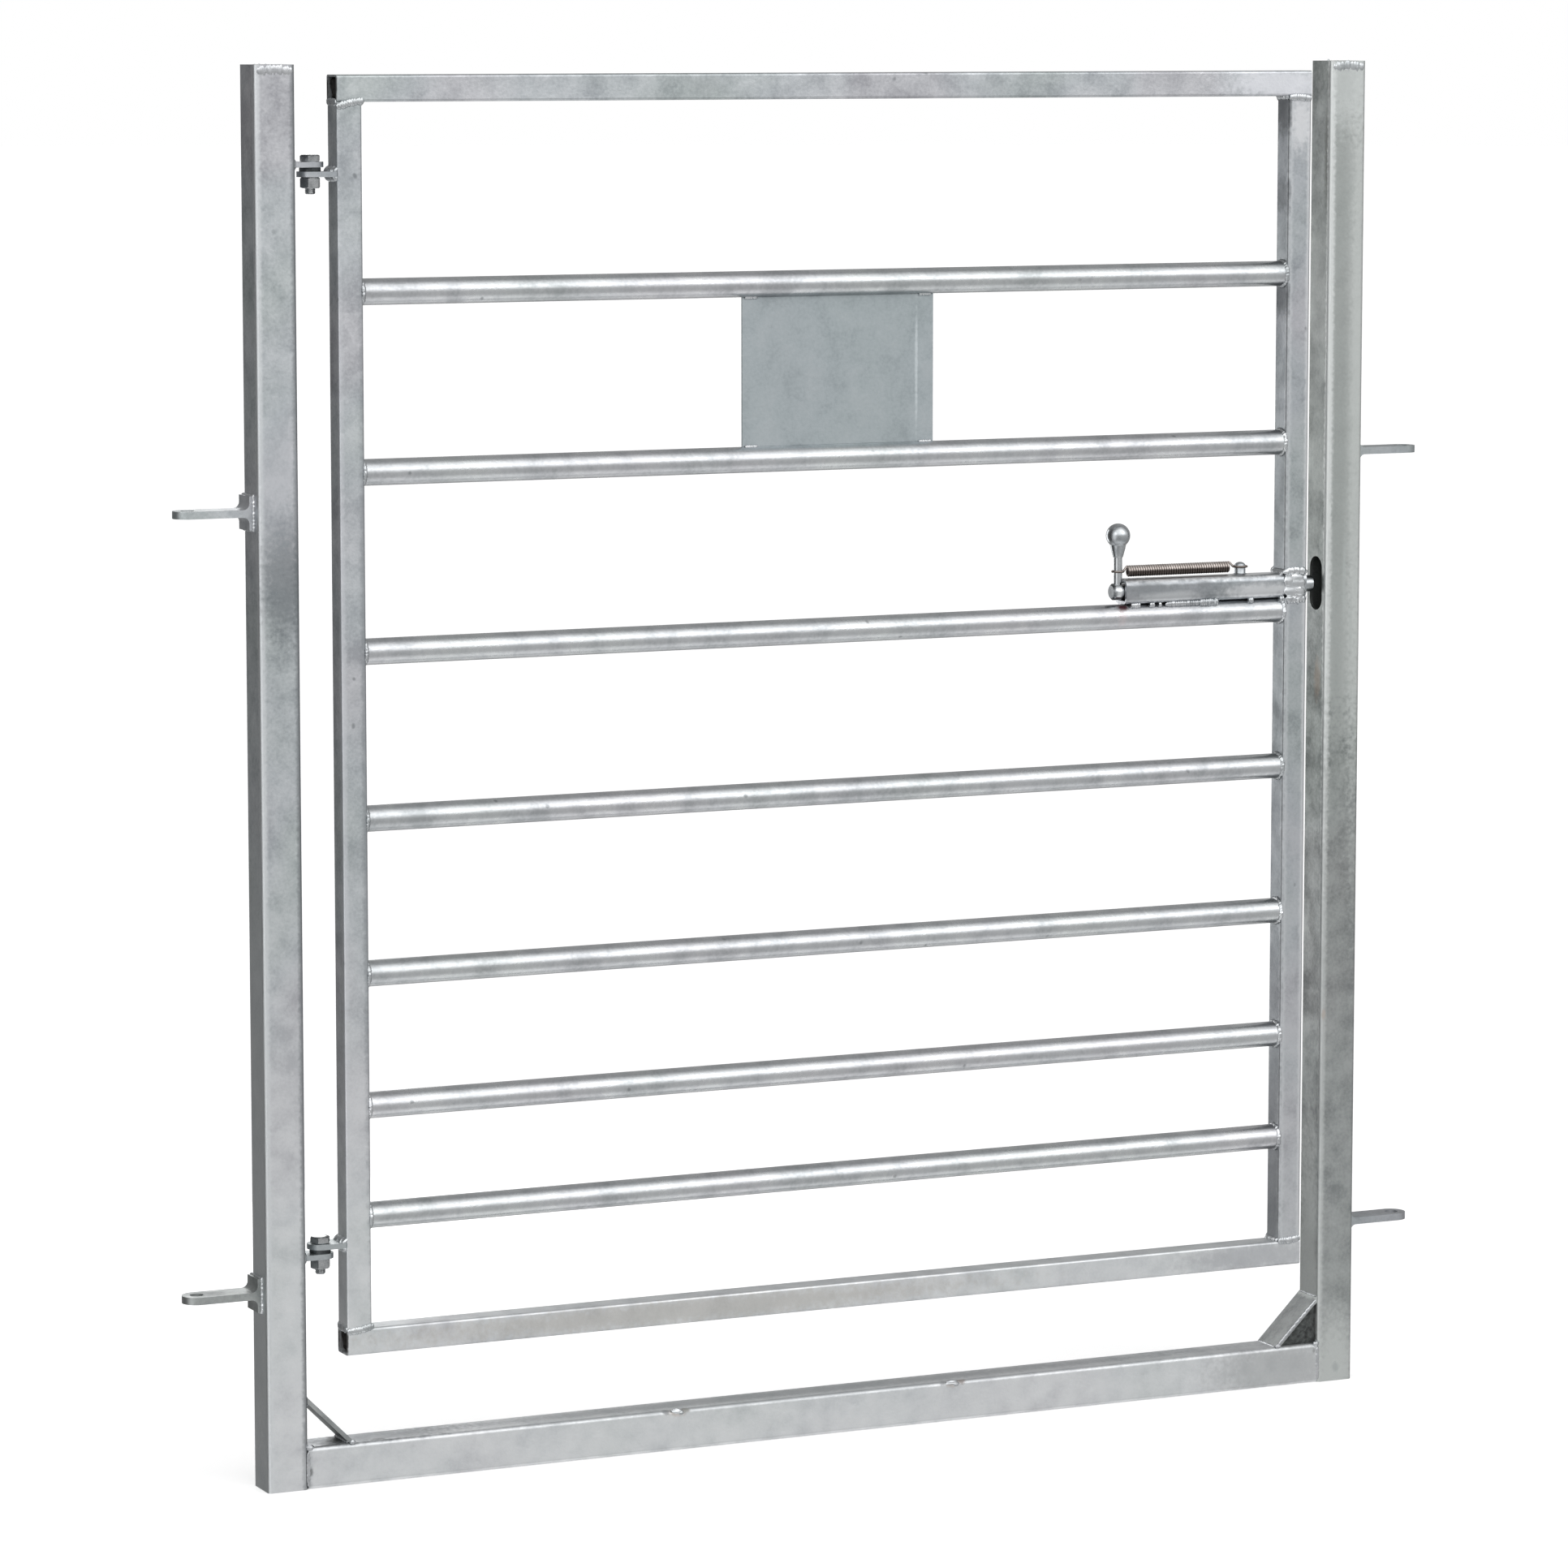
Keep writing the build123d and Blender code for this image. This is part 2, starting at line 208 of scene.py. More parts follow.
def add(tree, kind, sockets=None, **settings):
    """One shader node: settings go to its properties, sockets to its inputs by name or number, and
    another node's output is linked."""
    node = tree.nodes.new("ShaderNode" + kind)
    for key, value in settings.items():
        setattr(node, key, value)
    for key, value in (sockets or {}).items():
        if isinstance(value, bpy.types.NodeSocket):
            tree.links.new(value, node.inputs[key])
        else:
            node.inputs[key].default_value = value
    return node


def per_mm(size):
    """Scale of a pattern whose features are about size millimetres apart, on metre coordinates."""
    return 1.0 / (size * MM)


def finish_for(name):
    """An empty material with its shader, its tree and the piece's own coordinates in metres."""
    material = bpy.data.materials.new(name)
    material.use_nodes = True
    tree = material.node_tree
    shader = tree.nodes["Principled BSDF"]
    return material, tree, shader, add(tree, "TexCoord").outputs["Object"]


# A patch's edge: how far noise pushes it in and out, and where it starts and ends to fade, in half sizes
EDGE_NOISE, FADE_START, FADE_END = 0.9, 0.75, 1.45


def spot(tree, place, centre, sizes, ragged):
    """1 inside an ellipsoid of half sizes sizes round centre, fading to 0 at its ragged edge."""
    away = add(tree, "VectorMath", {0: place, 1: [v * MM for v in centre]}, operation="SUBTRACT")
    scaled = add(tree, "VectorMath", {0: away.outputs[0], 1: [v * MM for v in sizes]}, operation="DIVIDE")
    reach = add(tree, "VectorMath", {0: scaled.outputs[0]}, operation="LENGTH")
    edge = add(tree, "Math", {0: ragged, 1: EDGE_NOISE, 2: reach.outputs["Value"]}, operation="MULTIPLY_ADD")
    return add(tree, "MapRange", {"Value": edge.outputs[0], "From Min": FADE_START, "From Max": FADE_END,
                                  "To Min": 1.0, "To Max": 0.0}, interpolation_type="SMOOTHSTEP").outputs[0]


def lay_patches(tree, place, face, layers):
    """Lays patches over a colour, real marks and painted highlights and shade alike: each is a centre and
    half sizes in mm, a colour and a strength. Gives the new colour and the share of the metal that they hide."""
    hidden = None
    if layers:
        ragged = add(tree, "TexNoise", {"Vector": place, "Scale": per_mm(5), "Detail": 4.0}).outputs["Fac"]
    for centre, sizes, code, strength in layers:
        inside = spot(tree, place, centre, sizes, ragged)
        share = add(tree, "Math", {0: inside, 1: strength}, operation="MULTIPLY").outputs[0]
        face = add(tree, "Mix", {"Factor": share, 6: face, 7: colour(code)}, data_type="RGBA").outputs[2]
        if hidden is not None:
            share = add(tree, "Math", {0: hidden, 1: share}, operation="MAXIMUM").outputs[0]
        hidden = share
    return face, hidden


# Where the photograph shows rust, dark scuffs and stains, plus painted shade in a few corners and open ends:
# centre and half sizes in mm, colour, strength

POST_RUST = [
    ((545, -5, 716), (6, 9, 30), "#8A7460", 0.4),
    ((548, -20, 378), (3, 3, 9), "#8C7A6C", 0.5),
]
LATCH_GREASE = [((322, -9, 798), (9, 11, 6), "#3E2026", 1.0)]
LATCH_RUST = [((320, -11, 788), (7, 9, 12), "#A88C8C", 0.28)]
HOUSE_SCUFFS = [
    ((352, -12.5, 815.5), (50, 5, 8), "#6A6E71", 0.7),
    ((411, -12.5, 817), (13, 5, 6), "#66696C", 0.6),
]
STAINS_AND_SHADE = POST_RUST + [
    ((-166, -20, 38), (13, 7, 7), "#8E8074", 0.55),
    ((131, -20, 38), (11, 7, 6), "#8E8074", 0.5),
] + LATCH_GREASE + LATCH_RUST + [
    ((-131, -12, 1310), (24, 6, 12), "#8D9192", 0.35),
    ((170, -12, 1308), (26, 6, 12), "#909495", 0.35),
    ((-543, -20, 17), (4, 4, 6), "#4A4C4C", 0.8),
    # A grey smear just below the upper leaf lug
    ((-492, -12.5, 1221), (9, 5, 4), "#888C8F", 0.6),
    ((-567, -20, 1180), (3, 3, 3), "#7E8386", 0.7),
    ((-565, -20, 960), (26, 5, 115), "#8F959A", 0.4),
    # Painted shade on the sill's top under the hinge side's brace
    ((-509, 0, 43), (13, 24, 8), "#3C3E3E", 0.85),
    ((-472, -13, 40), (11, 5, 3), "#606262", 0.6),
    # Painted shade on the sill's top under the latch side's brace
    ((509, 0, 43), (13, 24, 8), "#3C3E3E", 0.7),
    ((541, -20, 33), (3, 3, 4), "#646666", 0.7),
] + HOUSE_SCUFFS + [
    ((-177, -19.5, 39.5), (6, 6, 5), "#6F7173", 0.8),
    ((-156, -19.5, 39.5), (6, 6, 5), "#7B7B77", 0.8),
    ((122, -19.5, 39.5), (6, 6, 5), "#77797B", 0.8),
    ((142, -19.5, 39.5), (7, 6, 5), "#7A726E", 0.85),
    # Painted shade: near-black in the open ends of the top and bottom rails
    ((-502, 0, 1310), (1.4, 60, 19), "#141414", 0.95),
    ((-502, 0, 135), (1.4, 60, 19), "#141414", 0.95),
]

# A painted highlight along a crease down the sign plate near its right edge
SHEET_CREASE_HIGHLIGHT = [((98, 0, 1039), (2.2, 4, 90), "#BCC3C5", 0.5)]

# Painted shade in the corner under the latch side's brace, and a darker spot at that post's foot
POST_STAINS_AND_SHADE = POST_RUST + [
    ((545, 2, 58), (5, 24, 22), "#2E3030", 0.85),
    ((566, -20, 14), (6, 3, 8), "#767B7B", 0.6),
]

# Painted highlights and painted shade along the tubes: corners that face the light are painted brighter, and
# corners, faces and the sill's top that turn away from it are painted darker, with some paler and darker
# stretches of tone. ALL_UP is tall enough to leave no fade along an upright
ALL_UP = 4000
TUBE_LIGHT_AND_TONE = [
    ((-583.5, -18.5, 660), (6, 6, ALL_UP), "#D8DBDD", 0.75),
    ((-546.5, -18.5, 660), (6, 6, ALL_UP), "#7C8083", 0.7),
    ((-500.5, -11, 722), (5, 6, 660), "#D2D4D8", 0.5),
    ((-478, -11.5, 722), (7, 5, 660), "#868A8E", 0.6),
    ((-150, -12.5, 135), (420, 5, 16), "#B4B0A8", 0.45),
    ((0, -19, 39), (640, 4, 4), "#A8ABAD", 0.5),
    ((0, 2, 40), (640, 17, 3), "#8A8E91", 0.45),
    ((490, -12.5, 1310), (90, 6, 22), "#E4E5EA", 0.7),
    ((470, -12.5, 135), (120, 5, 18), "#A6A8AC", 0.5),
    ((500, -20, 18), (110, 5, 40), "#A2A5A5", 0.5),
    ((-545.5, -19, 20), (7, 7, 26), "#C4C7C9", 0.85),
    ((-561, -20, 856), (32, 5, 82), "#6E7477", 0.68),
    ((-585, 0, 330), (6, 60, 560), "#C9CDCE", 0.7),
    ((-470, 2, 40), (120, 34, 3.5), "#72767A", 0.65),
]
# Painted highlights down the latch stile's front corners, a paler patch at its top, and painted shade on its inner
# face, darker in bands near the top
STILE_LIGHT_AND_TONE = [
    ((504, -11.5, 660), (5, 5, ALL_UP), "#CFD2D4", 0.5),
    ((526, -11.5, 660), (5, 5, ALL_UP), "#D6D8DA", 0.6),
    ((516, -12.5, 1272), (16, 6, 40), "#DCDDDF", 0.75),
    ((502.5, 2, 660), (4, 24, ALL_UP), "#7A7E82", 0.6),
    ((502.5, 0, 1284), (4, 40, 34), "#44474A", 0.7),
    ((502.5, 0, 1200), (4, 40, 22), "#505356", 0.5),
    ((502.5, 0, 1098), (4, 40, 24), "#4A4D50", 0.6),
]
# Painted highlights down the latch post's front left corner and painted light on its inner face, low and high;
# paler and darker bands, a darker strip high on the inner face, a paler foot and light scratches
POST_LIGHT_AND_TONE = [
    ((563, -20, 1060), (60, 8, 600), "#BDC1BF", 0.6),
    ((563, -20, 745), (60, 8, 110), "#BDC1BF", 0.45),
    ((558, -20, 1000), (12, 6, 620), "#979C9A", 0.45),
    ((579, -20, 1000), (13, 6, 640), "#D2D6D4", 0.45),
    ((563, -20, 1318), (60, 8, 75), "#CDD1D0", 0.6),
    ((545, 0, 1050), (6, 60, 330), "#A6AAA8", 0.6),
    ((545, -14, 1235), (4, 8, 75), "#5E5F5C", 0.6),
    ((546.5, -18.5, 660), (6, 6, ALL_UP), "#C8CBCA", 0.6),
    ((546.5, -18.5, 1030), (7, 7, 640), "#E0E3E2", 0.6),
    ((565, -20, 10), (36, 6, 85), "#C8CCCA", 0.85),
    ((566, -20, 815), (3, 4, 60), "#B6BCBA", 0.5),
    ((574, -20, 770), (2.5, 4, 44), "#B2B8B6", 0.4),
    ((545, 0, 110), (5, 34, 200), "#C8CCCA", 0.85),
]

# Painted shade and highlight on the bolt heads: dark at the rim and bright on the crown
HEAD_SHADE_AND_HIGHLIGHT = []
for head_top in (1249.5, 237.8):
    HEAD_SHADE_AND_HIGHLIGHT += [
        ((-524, 0, head_top), (15, 15, 3), "#34373A", 0.85),
        ((-524, 0, head_top), (9.5, 9.5, 5), "#D4D8D7", 0.95),
    ]

# The latch bolt's drawn end, with painted shade on its face and a painted highlight on its barrel
BOLT_END_SHADE_AND_HIGHLIGHT = [
    ((312.5, 0, 812.5), (4.5, 30, 30), "#4A4D4F", 0.9),
    ((320, -8, 812), (5, 6, 8), "#E2E5E7", 0.9),
]

# The latch housing's painted highlight along its top and the paler stretches of its front
HOUSE_HIGHLIGHT_AND_TONE = [
    ((425, 0, 826), (400, 30, 7.5), "#F2F3F4", 0.9),
    ((474, -12.5, 808), (56, 6, 11), "#E2E4E6", 0.8),
    ((372, -12.5, 806), (50, 6, 8), "#CFD2D4", 0.7),
]

# Heights in mm between which dried splashes thin out
SPLASH_TOP, SPLASH_FULL = 680, 60

# Share of the mixed noises at which galvanised steel is darkest and lightest
TONE_DARK, TONE_LIGHT = 0.6, 0.96


def galvanised(name, light, mid, dark, spangle, rough, marks=(), tint=0.35, strips=(), dust=0.0):
    """Hot-dip galvanised steel. The zinc freezes in crystals, so the eye sees soft-edged cells of lighter
    and darker grey, slow clouds of bluish, greenish and pinkish oxide, a fine matt grain and a few dark
    pocks. marks, real rust and scuffs as well as painted shade, hide the metal, and strips only change its
    tone, as painted highlights and shade along a tube's corners and faces and paler or darker stretches.
    dust is the share of pale dried splashes near the ground."""
    material, tree, shader, place = finish_for(name)
    warp = add(tree, "TexNoise", {"Vector": place, "Scale": per_mm(26), "Detail": 2.0})
    bent = add(tree, "VectorMath", {0: warp.outputs["Color"], 1: [12 * MM] * 3, 2: place},
               operation="MULTIPLY_ADD")
    cells = add(tree, "TexVoronoi", {"Vector": bent.outputs[0], "Scale": per_mm(spangle),
                                     "Smoothness": 0.35}, feature="SMOOTH_F1")
    crystal = add(tree, "SeparateColor", {"Color": cells.outputs["Color"]}).outputs["Red"]
    cloud = add(tree, "TexNoise", {"Vector": place, "Scale": per_mm(95), "Detail": 3.0,
                                   "Roughness": 0.55}).outputs["Fac"]
    grain = add(tree, "TexNoise", {"Vector": place, "Scale": per_mm(3.2), "Detail": 4.0,
                                   "Roughness": 0.6}).outputs["Fac"]
    blotch = add(tree, "TexNoise", {"Vector": place, "Scale": per_mm(24), "Detail": 3.0}).outputs["Fac"]
    tone = add(tree, "Math", {0: cloud, 1: 0.5}, operation="MULTIPLY")
    for share, weight in ((blotch, 0.5), (crystal, 0.13), (grain, 0.45)):
        tone = add(tree, "Math", {0: share, 1: weight, 2: tone.outputs[0]}, operation="MULTIPLY_ADD")
    ramp = add(tree, "ValToRGB", {"Fac": tone.outputs[0]})
    ramp.color_ramp.elements[0].position = TONE_DARK
    ramp.color_ramp.elements[0].color = colour(dark)
    ramp.color_ramp.elements[1].position = TONE_LIGHT
    ramp.color_ramp.elements[1].color = colour(light)
    ramp.color_ramp.elements.new((TONE_DARK + TONE_LIGHT) / 2).color = colour(mid)
    hue = add(tree, "TexNoise", {"Vector": place, "Scale": per_mm(150), "Detail": 1.0})
    oxide = add(tree, "ValToRGB", {"Fac": hue.outputs["Fac"]})
    oxide.color_ramp.elements[0].position = 0.36
    oxide.color_ramp.elements[0].color = colour("#B2BEBB")
    oxide.color_ramp.elements[1].position = 0.64
    oxide.color_ramp.elements[1].color = colour("#C6C1C9")
    oxide.color_ramp.elements.new(0.5).color = colour("#BCC2C8")
    mixed = add(tree, "Mix", {"Factor": tint, 6: ramp.outputs["Color"], 7: oxide.outputs["Color"]},
                data_type="RGBA").outputs[2]
    pocks = add(tree, "TexVoronoi", {"Vector": bent.outputs[0], "Scale": per_mm(30)})
    pock_pick = add(tree, "SeparateColor", {"Color": pocks.outputs["Color"]}).outputs["Green"]
    pock_pick = add(tree, "MapRange", {"Value": pock_pick, "From Min": 0.66, "From Max": 0.72,
                                       "To Min": 0.0, "To Max": 0.5}).outputs[0]
    pock = add(tree, "MapRange", {"Value": pocks.outputs["Distance"], "From Min": 0.04, "From Max": 0.09,
                                  "To Min": pock_pick, "To Max": 0.0}).outputs[0]
    mixed = add(tree, "Mix", {"Factor": pock, 6: mixed, 7: colour("#5E6265")}, data_type="RGBA").outputs[2]
    if dust:
        height = add(tree, "SeparateXYZ", {0: place}).outputs["Z"]
        pale = add(tree, "MapRange", {"Value": height, "From Min": SPLASH_TOP * MM,
                                      "From Max": SPLASH_FULL * MM, "To Min": 0.0, "To Max": dust},
                   interpolation_type="SMOOTHSTEP").outputs[0]
        patchy = add(tree, "Math", {0: blotch, 1: 1.3, 2: 0.35}, operation="MULTIPLY_ADD").outputs[0]
        pale = add(tree, "Math", {0: pale, 1: patchy}, operation="MULTIPLY").outputs[0]
        mixed = add(tree, "Mix", {"Factor": pale, 6: mixed, 7: colour("#E4E6E7")},
                    data_type="RGBA").outputs[2]
    mixed, _ = lay_patches(tree, place, mixed, strips)
    mixed, metal = lay_patches(tree, place, mixed, marks)
    tree.links.new(mixed, shader.inputs["Base Color"])
    if metal is None:
        shader.inputs["Metallic"].default_value = 1.0
    else:
        bare = add(tree, "MapRange", {"Value": metal, "To Min": 1.0, "To Max": 0.15}).outputs[0]
        tree.links.new(bare, shader.inputs["Metallic"])
    roughness = add(tree, "MapRange", {"Value": tone.outputs[0], "From Min": TONE_DARK, "From Max": TONE_LIGHT,
                                       "To Min": rough[1], "To Max": rough[0]})
    tree.links.new(roughness.outputs[0], shader.inputs["Roughness"])
    relief = add(tree, "Math", {0: crystal, 1: 0.4, 2: grain}, operation="MULTIPLY_ADD")
    bump = add(tree, "Bump", {"Strength": 0.25, "Distance": 0.0006, "Height": relief.outputs[0]})
    tree.links.new(bump.outputs[0], shader.inputs["Normal"])
    return material


def plated(name, light, dark, rough, grain_mm, metallic=1.0, underside=None, strips=()):
    """Zinc-plated or browned steel: an even tone with a fine handled grain and slow dull patches.
    underside is a height in mm and the colour of the painted shade below it, and strips are darker or
    brighter places, painted shade and highlights."""
    material, tree, shader, place = finish_for(name)
    patch = add(tree, "TexNoise", {"Vector": place, "Scale": per_mm(14), "Detail": 3.0}).outputs["Fac"]
    grain = add(tree, "TexNoise", {"Vector": place, "Scale": per_mm(grain_mm), "Detail": 3.0}).outputs["Fac"]
    tone = add(tree, "Math", {0: grain, 1: 0.4, 2: patch}, operation="MULTIPLY_ADD").outputs[0]
    ramp = add(tree, "ValToRGB", {"Fac": tone})
    ramp.color_ramp.elements[0].position = 0.45
    ramp.color_ramp.elements[0].color = colour(dark)
    ramp.color_ramp.elements[1].position = 0.9
    ramp.color_ramp.elements[1].color = colour(light)
    face = ramp.outputs["Color"]
    if underside:
        height = add(tree, "SeparateXYZ", {0: place}).outputs["Z"]
        below = add(tree, "MapRange", {"Value": height, "From Min": (underside[0] + 0.8) * MM,
                                       "From Max": (underside[0] - 1.2) * MM, "To Min": 0.0, "To Max": 0.92})
        face = add(tree, "Mix", {"Factor": below.outputs[0], 6: face, 7: colour(underside[1])},
                   data_type="RGBA").outputs[2]
    face, _ = lay_patches(tree, place, face, strips)
    tree.links.new(face, shader.inputs["Base Color"])
    shader.inputs["Metallic"].default_value = metallic
    roughness = add(tree, "MapRange", {"Value": tone, "From Min": 0.4, "From Max": 1.0,
                                       "To Min": rough[1], "To Max": rough[0]})
    tree.links.new(roughness.outputs[0], shader.inputs["Roughness"])
    bump = add(tree, "Bump", {"Strength": 0.15, "Distance": 0.0003, "Height": grain})
    tree.links.new(bump.outputs[0], shader.inputs["Normal"])
    return material


# Light, middle and dark tone, spangle in mm, range of roughness, then marks, oxide, strips and splashes
tube_zinc = galvanised("galvanised_square_tube", "#C9CCCE", "#B1B5B7", "#919598", 16, (0.42, 0.55),
                       STAINS_AND_SHADE, 0.3, TUBE_LIGHT_AND_TONE, 0.66)
stile_zinc = galvanised("galvanised_latch_stile", "#B4B7BA", "#A3A7AA", "#878B8E", 16, (0.42, 0.55),
                        (), 0.25, STILE_LIGHT_AND_TONE, 0.28)
dull_zinc = galvanised("dulled_galvanised_post", "#979B99", "#868A88", "#6C706F", 16, (0.46, 0.58),
                       POST_STAINS_AND_SHADE, 0.1, POST_LIGHT_AND_TONE, 0.17)
house_zinc = galvanised("galvanised_latch_housing", "#ABAEB1", "#9A9EA1", "#808487", 14, (0.28, 0.4),
                        HOUSE_SCUFFS, 0.15, HOUSE_HIGHLIGHT_AND_TONE)
rail_zinc = galvanised("galvanised_round_rail", "#CBCDCE", "#BEC0C2", "#A7AAAC", 20, (0.26, 0.36),
                       LATCH_GREASE + LATCH_RUST, 0.15)
plate_zinc = galvanised("galvanised_flat_bar", "#B4B7B9", "#A3A7A9", "#8A8E90", 14, (0.38, 0.52))
weld_zinc = galvanised("galvanised_weld_bead", "#CED0D2", "#BEC1C3", "#9EA2A4", 9, (0.26, 0.4),
                       LATCH_GREASE, 0.12)
sheet_zinc = galvanised("plain_zinc_sheet", "#ACB3B6", "#A6AEB1", "#9BA3A6", 24, (0.5, 0.6),
                        SHEET_CREASE_HIGHLIGHT, 0.05)

# Light and dark tone, range of roughness and grain in mm
bolt_zinc = plated("zinc_plated_fastener", "#BDBFC0", "#74777A", (0.16, 0.3), 1.2, strips=HEAD_SHADE_AND_HIGHLIGHT)
# The hinge washers are painted dark as the shade between the lugs
washer_zinc = plated("washer_painted_shade", "#66696B", "#393C3D", (0.3, 0.48), 1.2)
latch_zinc = plated("bright_zinc_latch", "#C6C9CB", "#9DA2A5", (0.18, 0.3), 2.0, strips=BOLT_END_SHADE_AND_HIGHLIGHT)
# Below 833.3 mm the spring's wire is painted dark brown as shade on its underside
spring_brown = plated("browned_spring_wire", "#C6BEB9", "#A39A95", (0.32, 0.46), 1.5, metallic=0.8,
                      underside=(833.3, "#382E29"))

FINISHES = {
    "galvanised_tube": tube_zinc,
    "galvanised_rail": rail_zinc,
    "galvanised_plate": plate_zinc,
    "zinc_plated_fastener": bolt_zinc,
    "sign_sheet": sheet_zinc,
    "spring_steel": spring_brown,
    "bright_zinc_latch": latch_zinc,
}
for subpart in frame["record"]["subparts"]:
    node = frame["nodes"][subpart["node"]]
    node.data.materials.clear()
    node.data.materials.append(FINISHES[subpart["material_slot"]])
for finish, names in (
    (dull_zinc, ("latch_post", "latch_post_cap", "latch_corner_brace", "hinge_corner_brace",
                 "hinge_side_lower_link_lug")),
    (tube_zinc, ("hinge_side_upper_link_lug",)),
    (stile_zinc, ("lower_latch_stile", "upper_latch_stile")),
    (washer_zinc, ("upper_hinge_washer", "lower_hinge_washer")),
):
    for name in names:
        frame["nodes"][name].data.materials[0] = finish


# Round rails, smooth all round, with their ends closed against the stiles

RAILS = ["rail_%d" % number for number in range(1, 8)]
RAIL_SIDES, RAIL_ROWS = 72, 60
for name in RAILS:
    low, high = box_mm(name)
    radius = (high[2] - low[2]) / 2
    middle_z = (high[2] + low[2]) / 2
    turn = np.linspace(0, 2 * math.pi, RAIL_SIDES, endpoint=False)
    stations = np.linspace(low[0], high[0], RAIL_ROWS)[:, None]
    ringed = np.stack([stations * np.ones(RAIL_SIDES), radius * np.cos(turn) * np.ones_like(stations),
                       middle_z + radius * np.sin(turn) * np.ones_like(stations)], -1)
    rail = piece(name + "_tube", [skin(ringed)], rail_zinc, "gate_leaf")
    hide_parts(name)

# Weld collars round the rails' ends, where they meet the stiles

collars = []
for number, name in enumerate(RAILS):
    low, high = box_mm(name)
    radius = (high[2] - low[2]) / 2 - 0.4
    middle_z = (high[2] + low[2]) / 2
    turn = np.linspace(0, 2 * math.pi, 90, endpoint=False)
    round_out = np.stack([0 * turn, np.cos(turn), np.sin(turn)], -1)
    for end, sign in ((low[0], 1), (high[0], -1)):
        path = np.array([end + sign * 0.6, 0, middle_z]) + radius * round_out
        lean = round_out + np.array([sign * 0.8, 0, 0])
        collars.append(bead(path, lean, 2.4, 1.9, seed=number * 2 + sign + 7, ring=True, step=0.8))
piece("rail_end_welds", collars, weld_zinc, "gate_leaf")

# Welds at the leaf's four corners: a bead across front and back, and a fillet inside the corner

top_low, top_high = box_mm("leaf_top_rail")
foot_low, foot_high = box_mm("leaf_bottom_rail")
stile_low, stile_high = box_mm("hinge_stile")
latch_low, latch_high = box_mm("lower_latch_stile")
half = (stile_high[1] - stile_low[1]) / 2
corner_welds = []
for count, (x0, x1, z, inner, up, slant) in enumerate((
    (stile_low[0], stile_high[0], top_low[2], 1, -1, (-4.5, 1.5)),
    (latch_low[0], latch_high[0], top_low[2], -1, -1, (-1.0, -2.5)),
    (stile_low[0], stile_high[0], foot_high[2], 1, 1, (-2.0, 2.0)),
    (latch_low[0], latch_high[0], foot_high[2], -1, 1, (0.5, 2.0)),
)):
    for sign in (-1, 1):
        first, last = slant if sign < 0 else slant[::-1]
        line = [(x0 - 0.5, sign * half, z + first),
                ((x0 + x1) / 2, sign * half, z + (first + last) / 2 - 1.0 * up),
                (x1 + 2.0 * (inner > 0), sign * half, z + last)]
        corner_welds.append(bead(line, (0, sign, 0), 3.6, 1.7, seed=20 + count * 3 + sign))
    inside_x = x1 if inner > 0 else x0
    line = [(inside_x + inner * 0.8, -half + 1, z + up * 0.8),
            (inside_x + inner * 0.8, half - 1, z + up * 0.8)]
    corner_welds.append(bead(line, (inner, 0, up), 3.4, 2.0, seed=40 + count))
    outside_x = x0 if inner > 0 else x1
    line = [(outside_x, -half + 1, z), (outside_x, half - 1, z)]
    corner_welds.append(bead(line, (-inner, 0, 0), 3.2, 1.5, seed=50 + count))
piece("leaf_corner_welds", corner_welds, weld_zinc, "gate_leaf")

# Welds of the fixed frame: sill to posts, braces, caps and lugs

frame_welds = []
sill_low, sill_high = box_mm("ground_sill")
for sign in (-1, 1):
    x = sign * sill_high[0]
    y, top = sill_high[1], sill_high[2]
    line = [(x - sign * 0.4, -y + 3, top + 0.2), (x - sign * 0.4, y - 3, top + 0.2)]
    frame_welds.append(bead(line, (-sign, 0, 1), 2.0, 1.2, seed=60 + sign, ripple=4.0))
    for side in (-1, 1):
        line = [(x, side * y, 3), (x, side * y, top - 4)]
        frame_welds.append(bead(line, (0, side, 0), 1.8, 0.35, seed=62 + sign + side, ripple=5.0))
    frame_welds.append(lump((x - sign * 1.5, -y + 1.5, top), (4.0, 3.0, 3.2), 21 + sign))
    frame_welds.append(lump((x - sign * 45, -18.5, top + 1), (3.2, 2.2, 2.4), 24 + sign))
    name = "latch_corner_brace" if sign > 0 else "hinge_corner_brace"
    low, high = box_mm(name)
    reach = high[0] - low[0]
    for foot_x, foot_z, out, size in (
        (x - sign * reach, top + 0.2, (-sign, 0, 0.6), 0.5),
        (x - sign * (reach - 7), top + 1.2, (sign * 0.5, 0, 1), 1.0),
        (x - sign * 0.2, top + reach, (-sign * 0.6, 0, 1), 0.5),
        (x - sign * 1.2, top + reach - 7, (-sign, 0, -0.5), 1.0),
    ):
        line = [(foot_x, low[1] + 1, foot_z), (foot_x, high[1] - 1, foot_z)]
        frame_welds.append(bead(line, out, 2.2 * size, 1.3 * size, seed=70 + int(foot_z) + sign,
                                ripple=5.0))
    if sign > 0:
        line = [(low[0] + 3, low[1], top + 1), (high[0] - 0.8, low[1], top + reach - 3.5)]
        frame_welds.append(bead(line, (0, -1, 0), 1.7, 0.6, seed=77, ripple=6.0))

for number, name in enumerate(("hinge_post_cap", "latch_post_cap")):
    low, high = box_mm(name)
    ends = low[2] - 3.0
    for y, side in ((low[1], -1), (high[1], 1)):
        line = [(low[0] + 2.5, y, ends), ((low[0] + high[0]) / 2, y, ends + 1.8), (high[0] - 2.5, y, ends)]
        frame_welds.append(bead(line, (0, side, 0), 4.2, 0.75, seed=80 + number, ripple=5.0, uneven=0.3,
                                step=0.7))

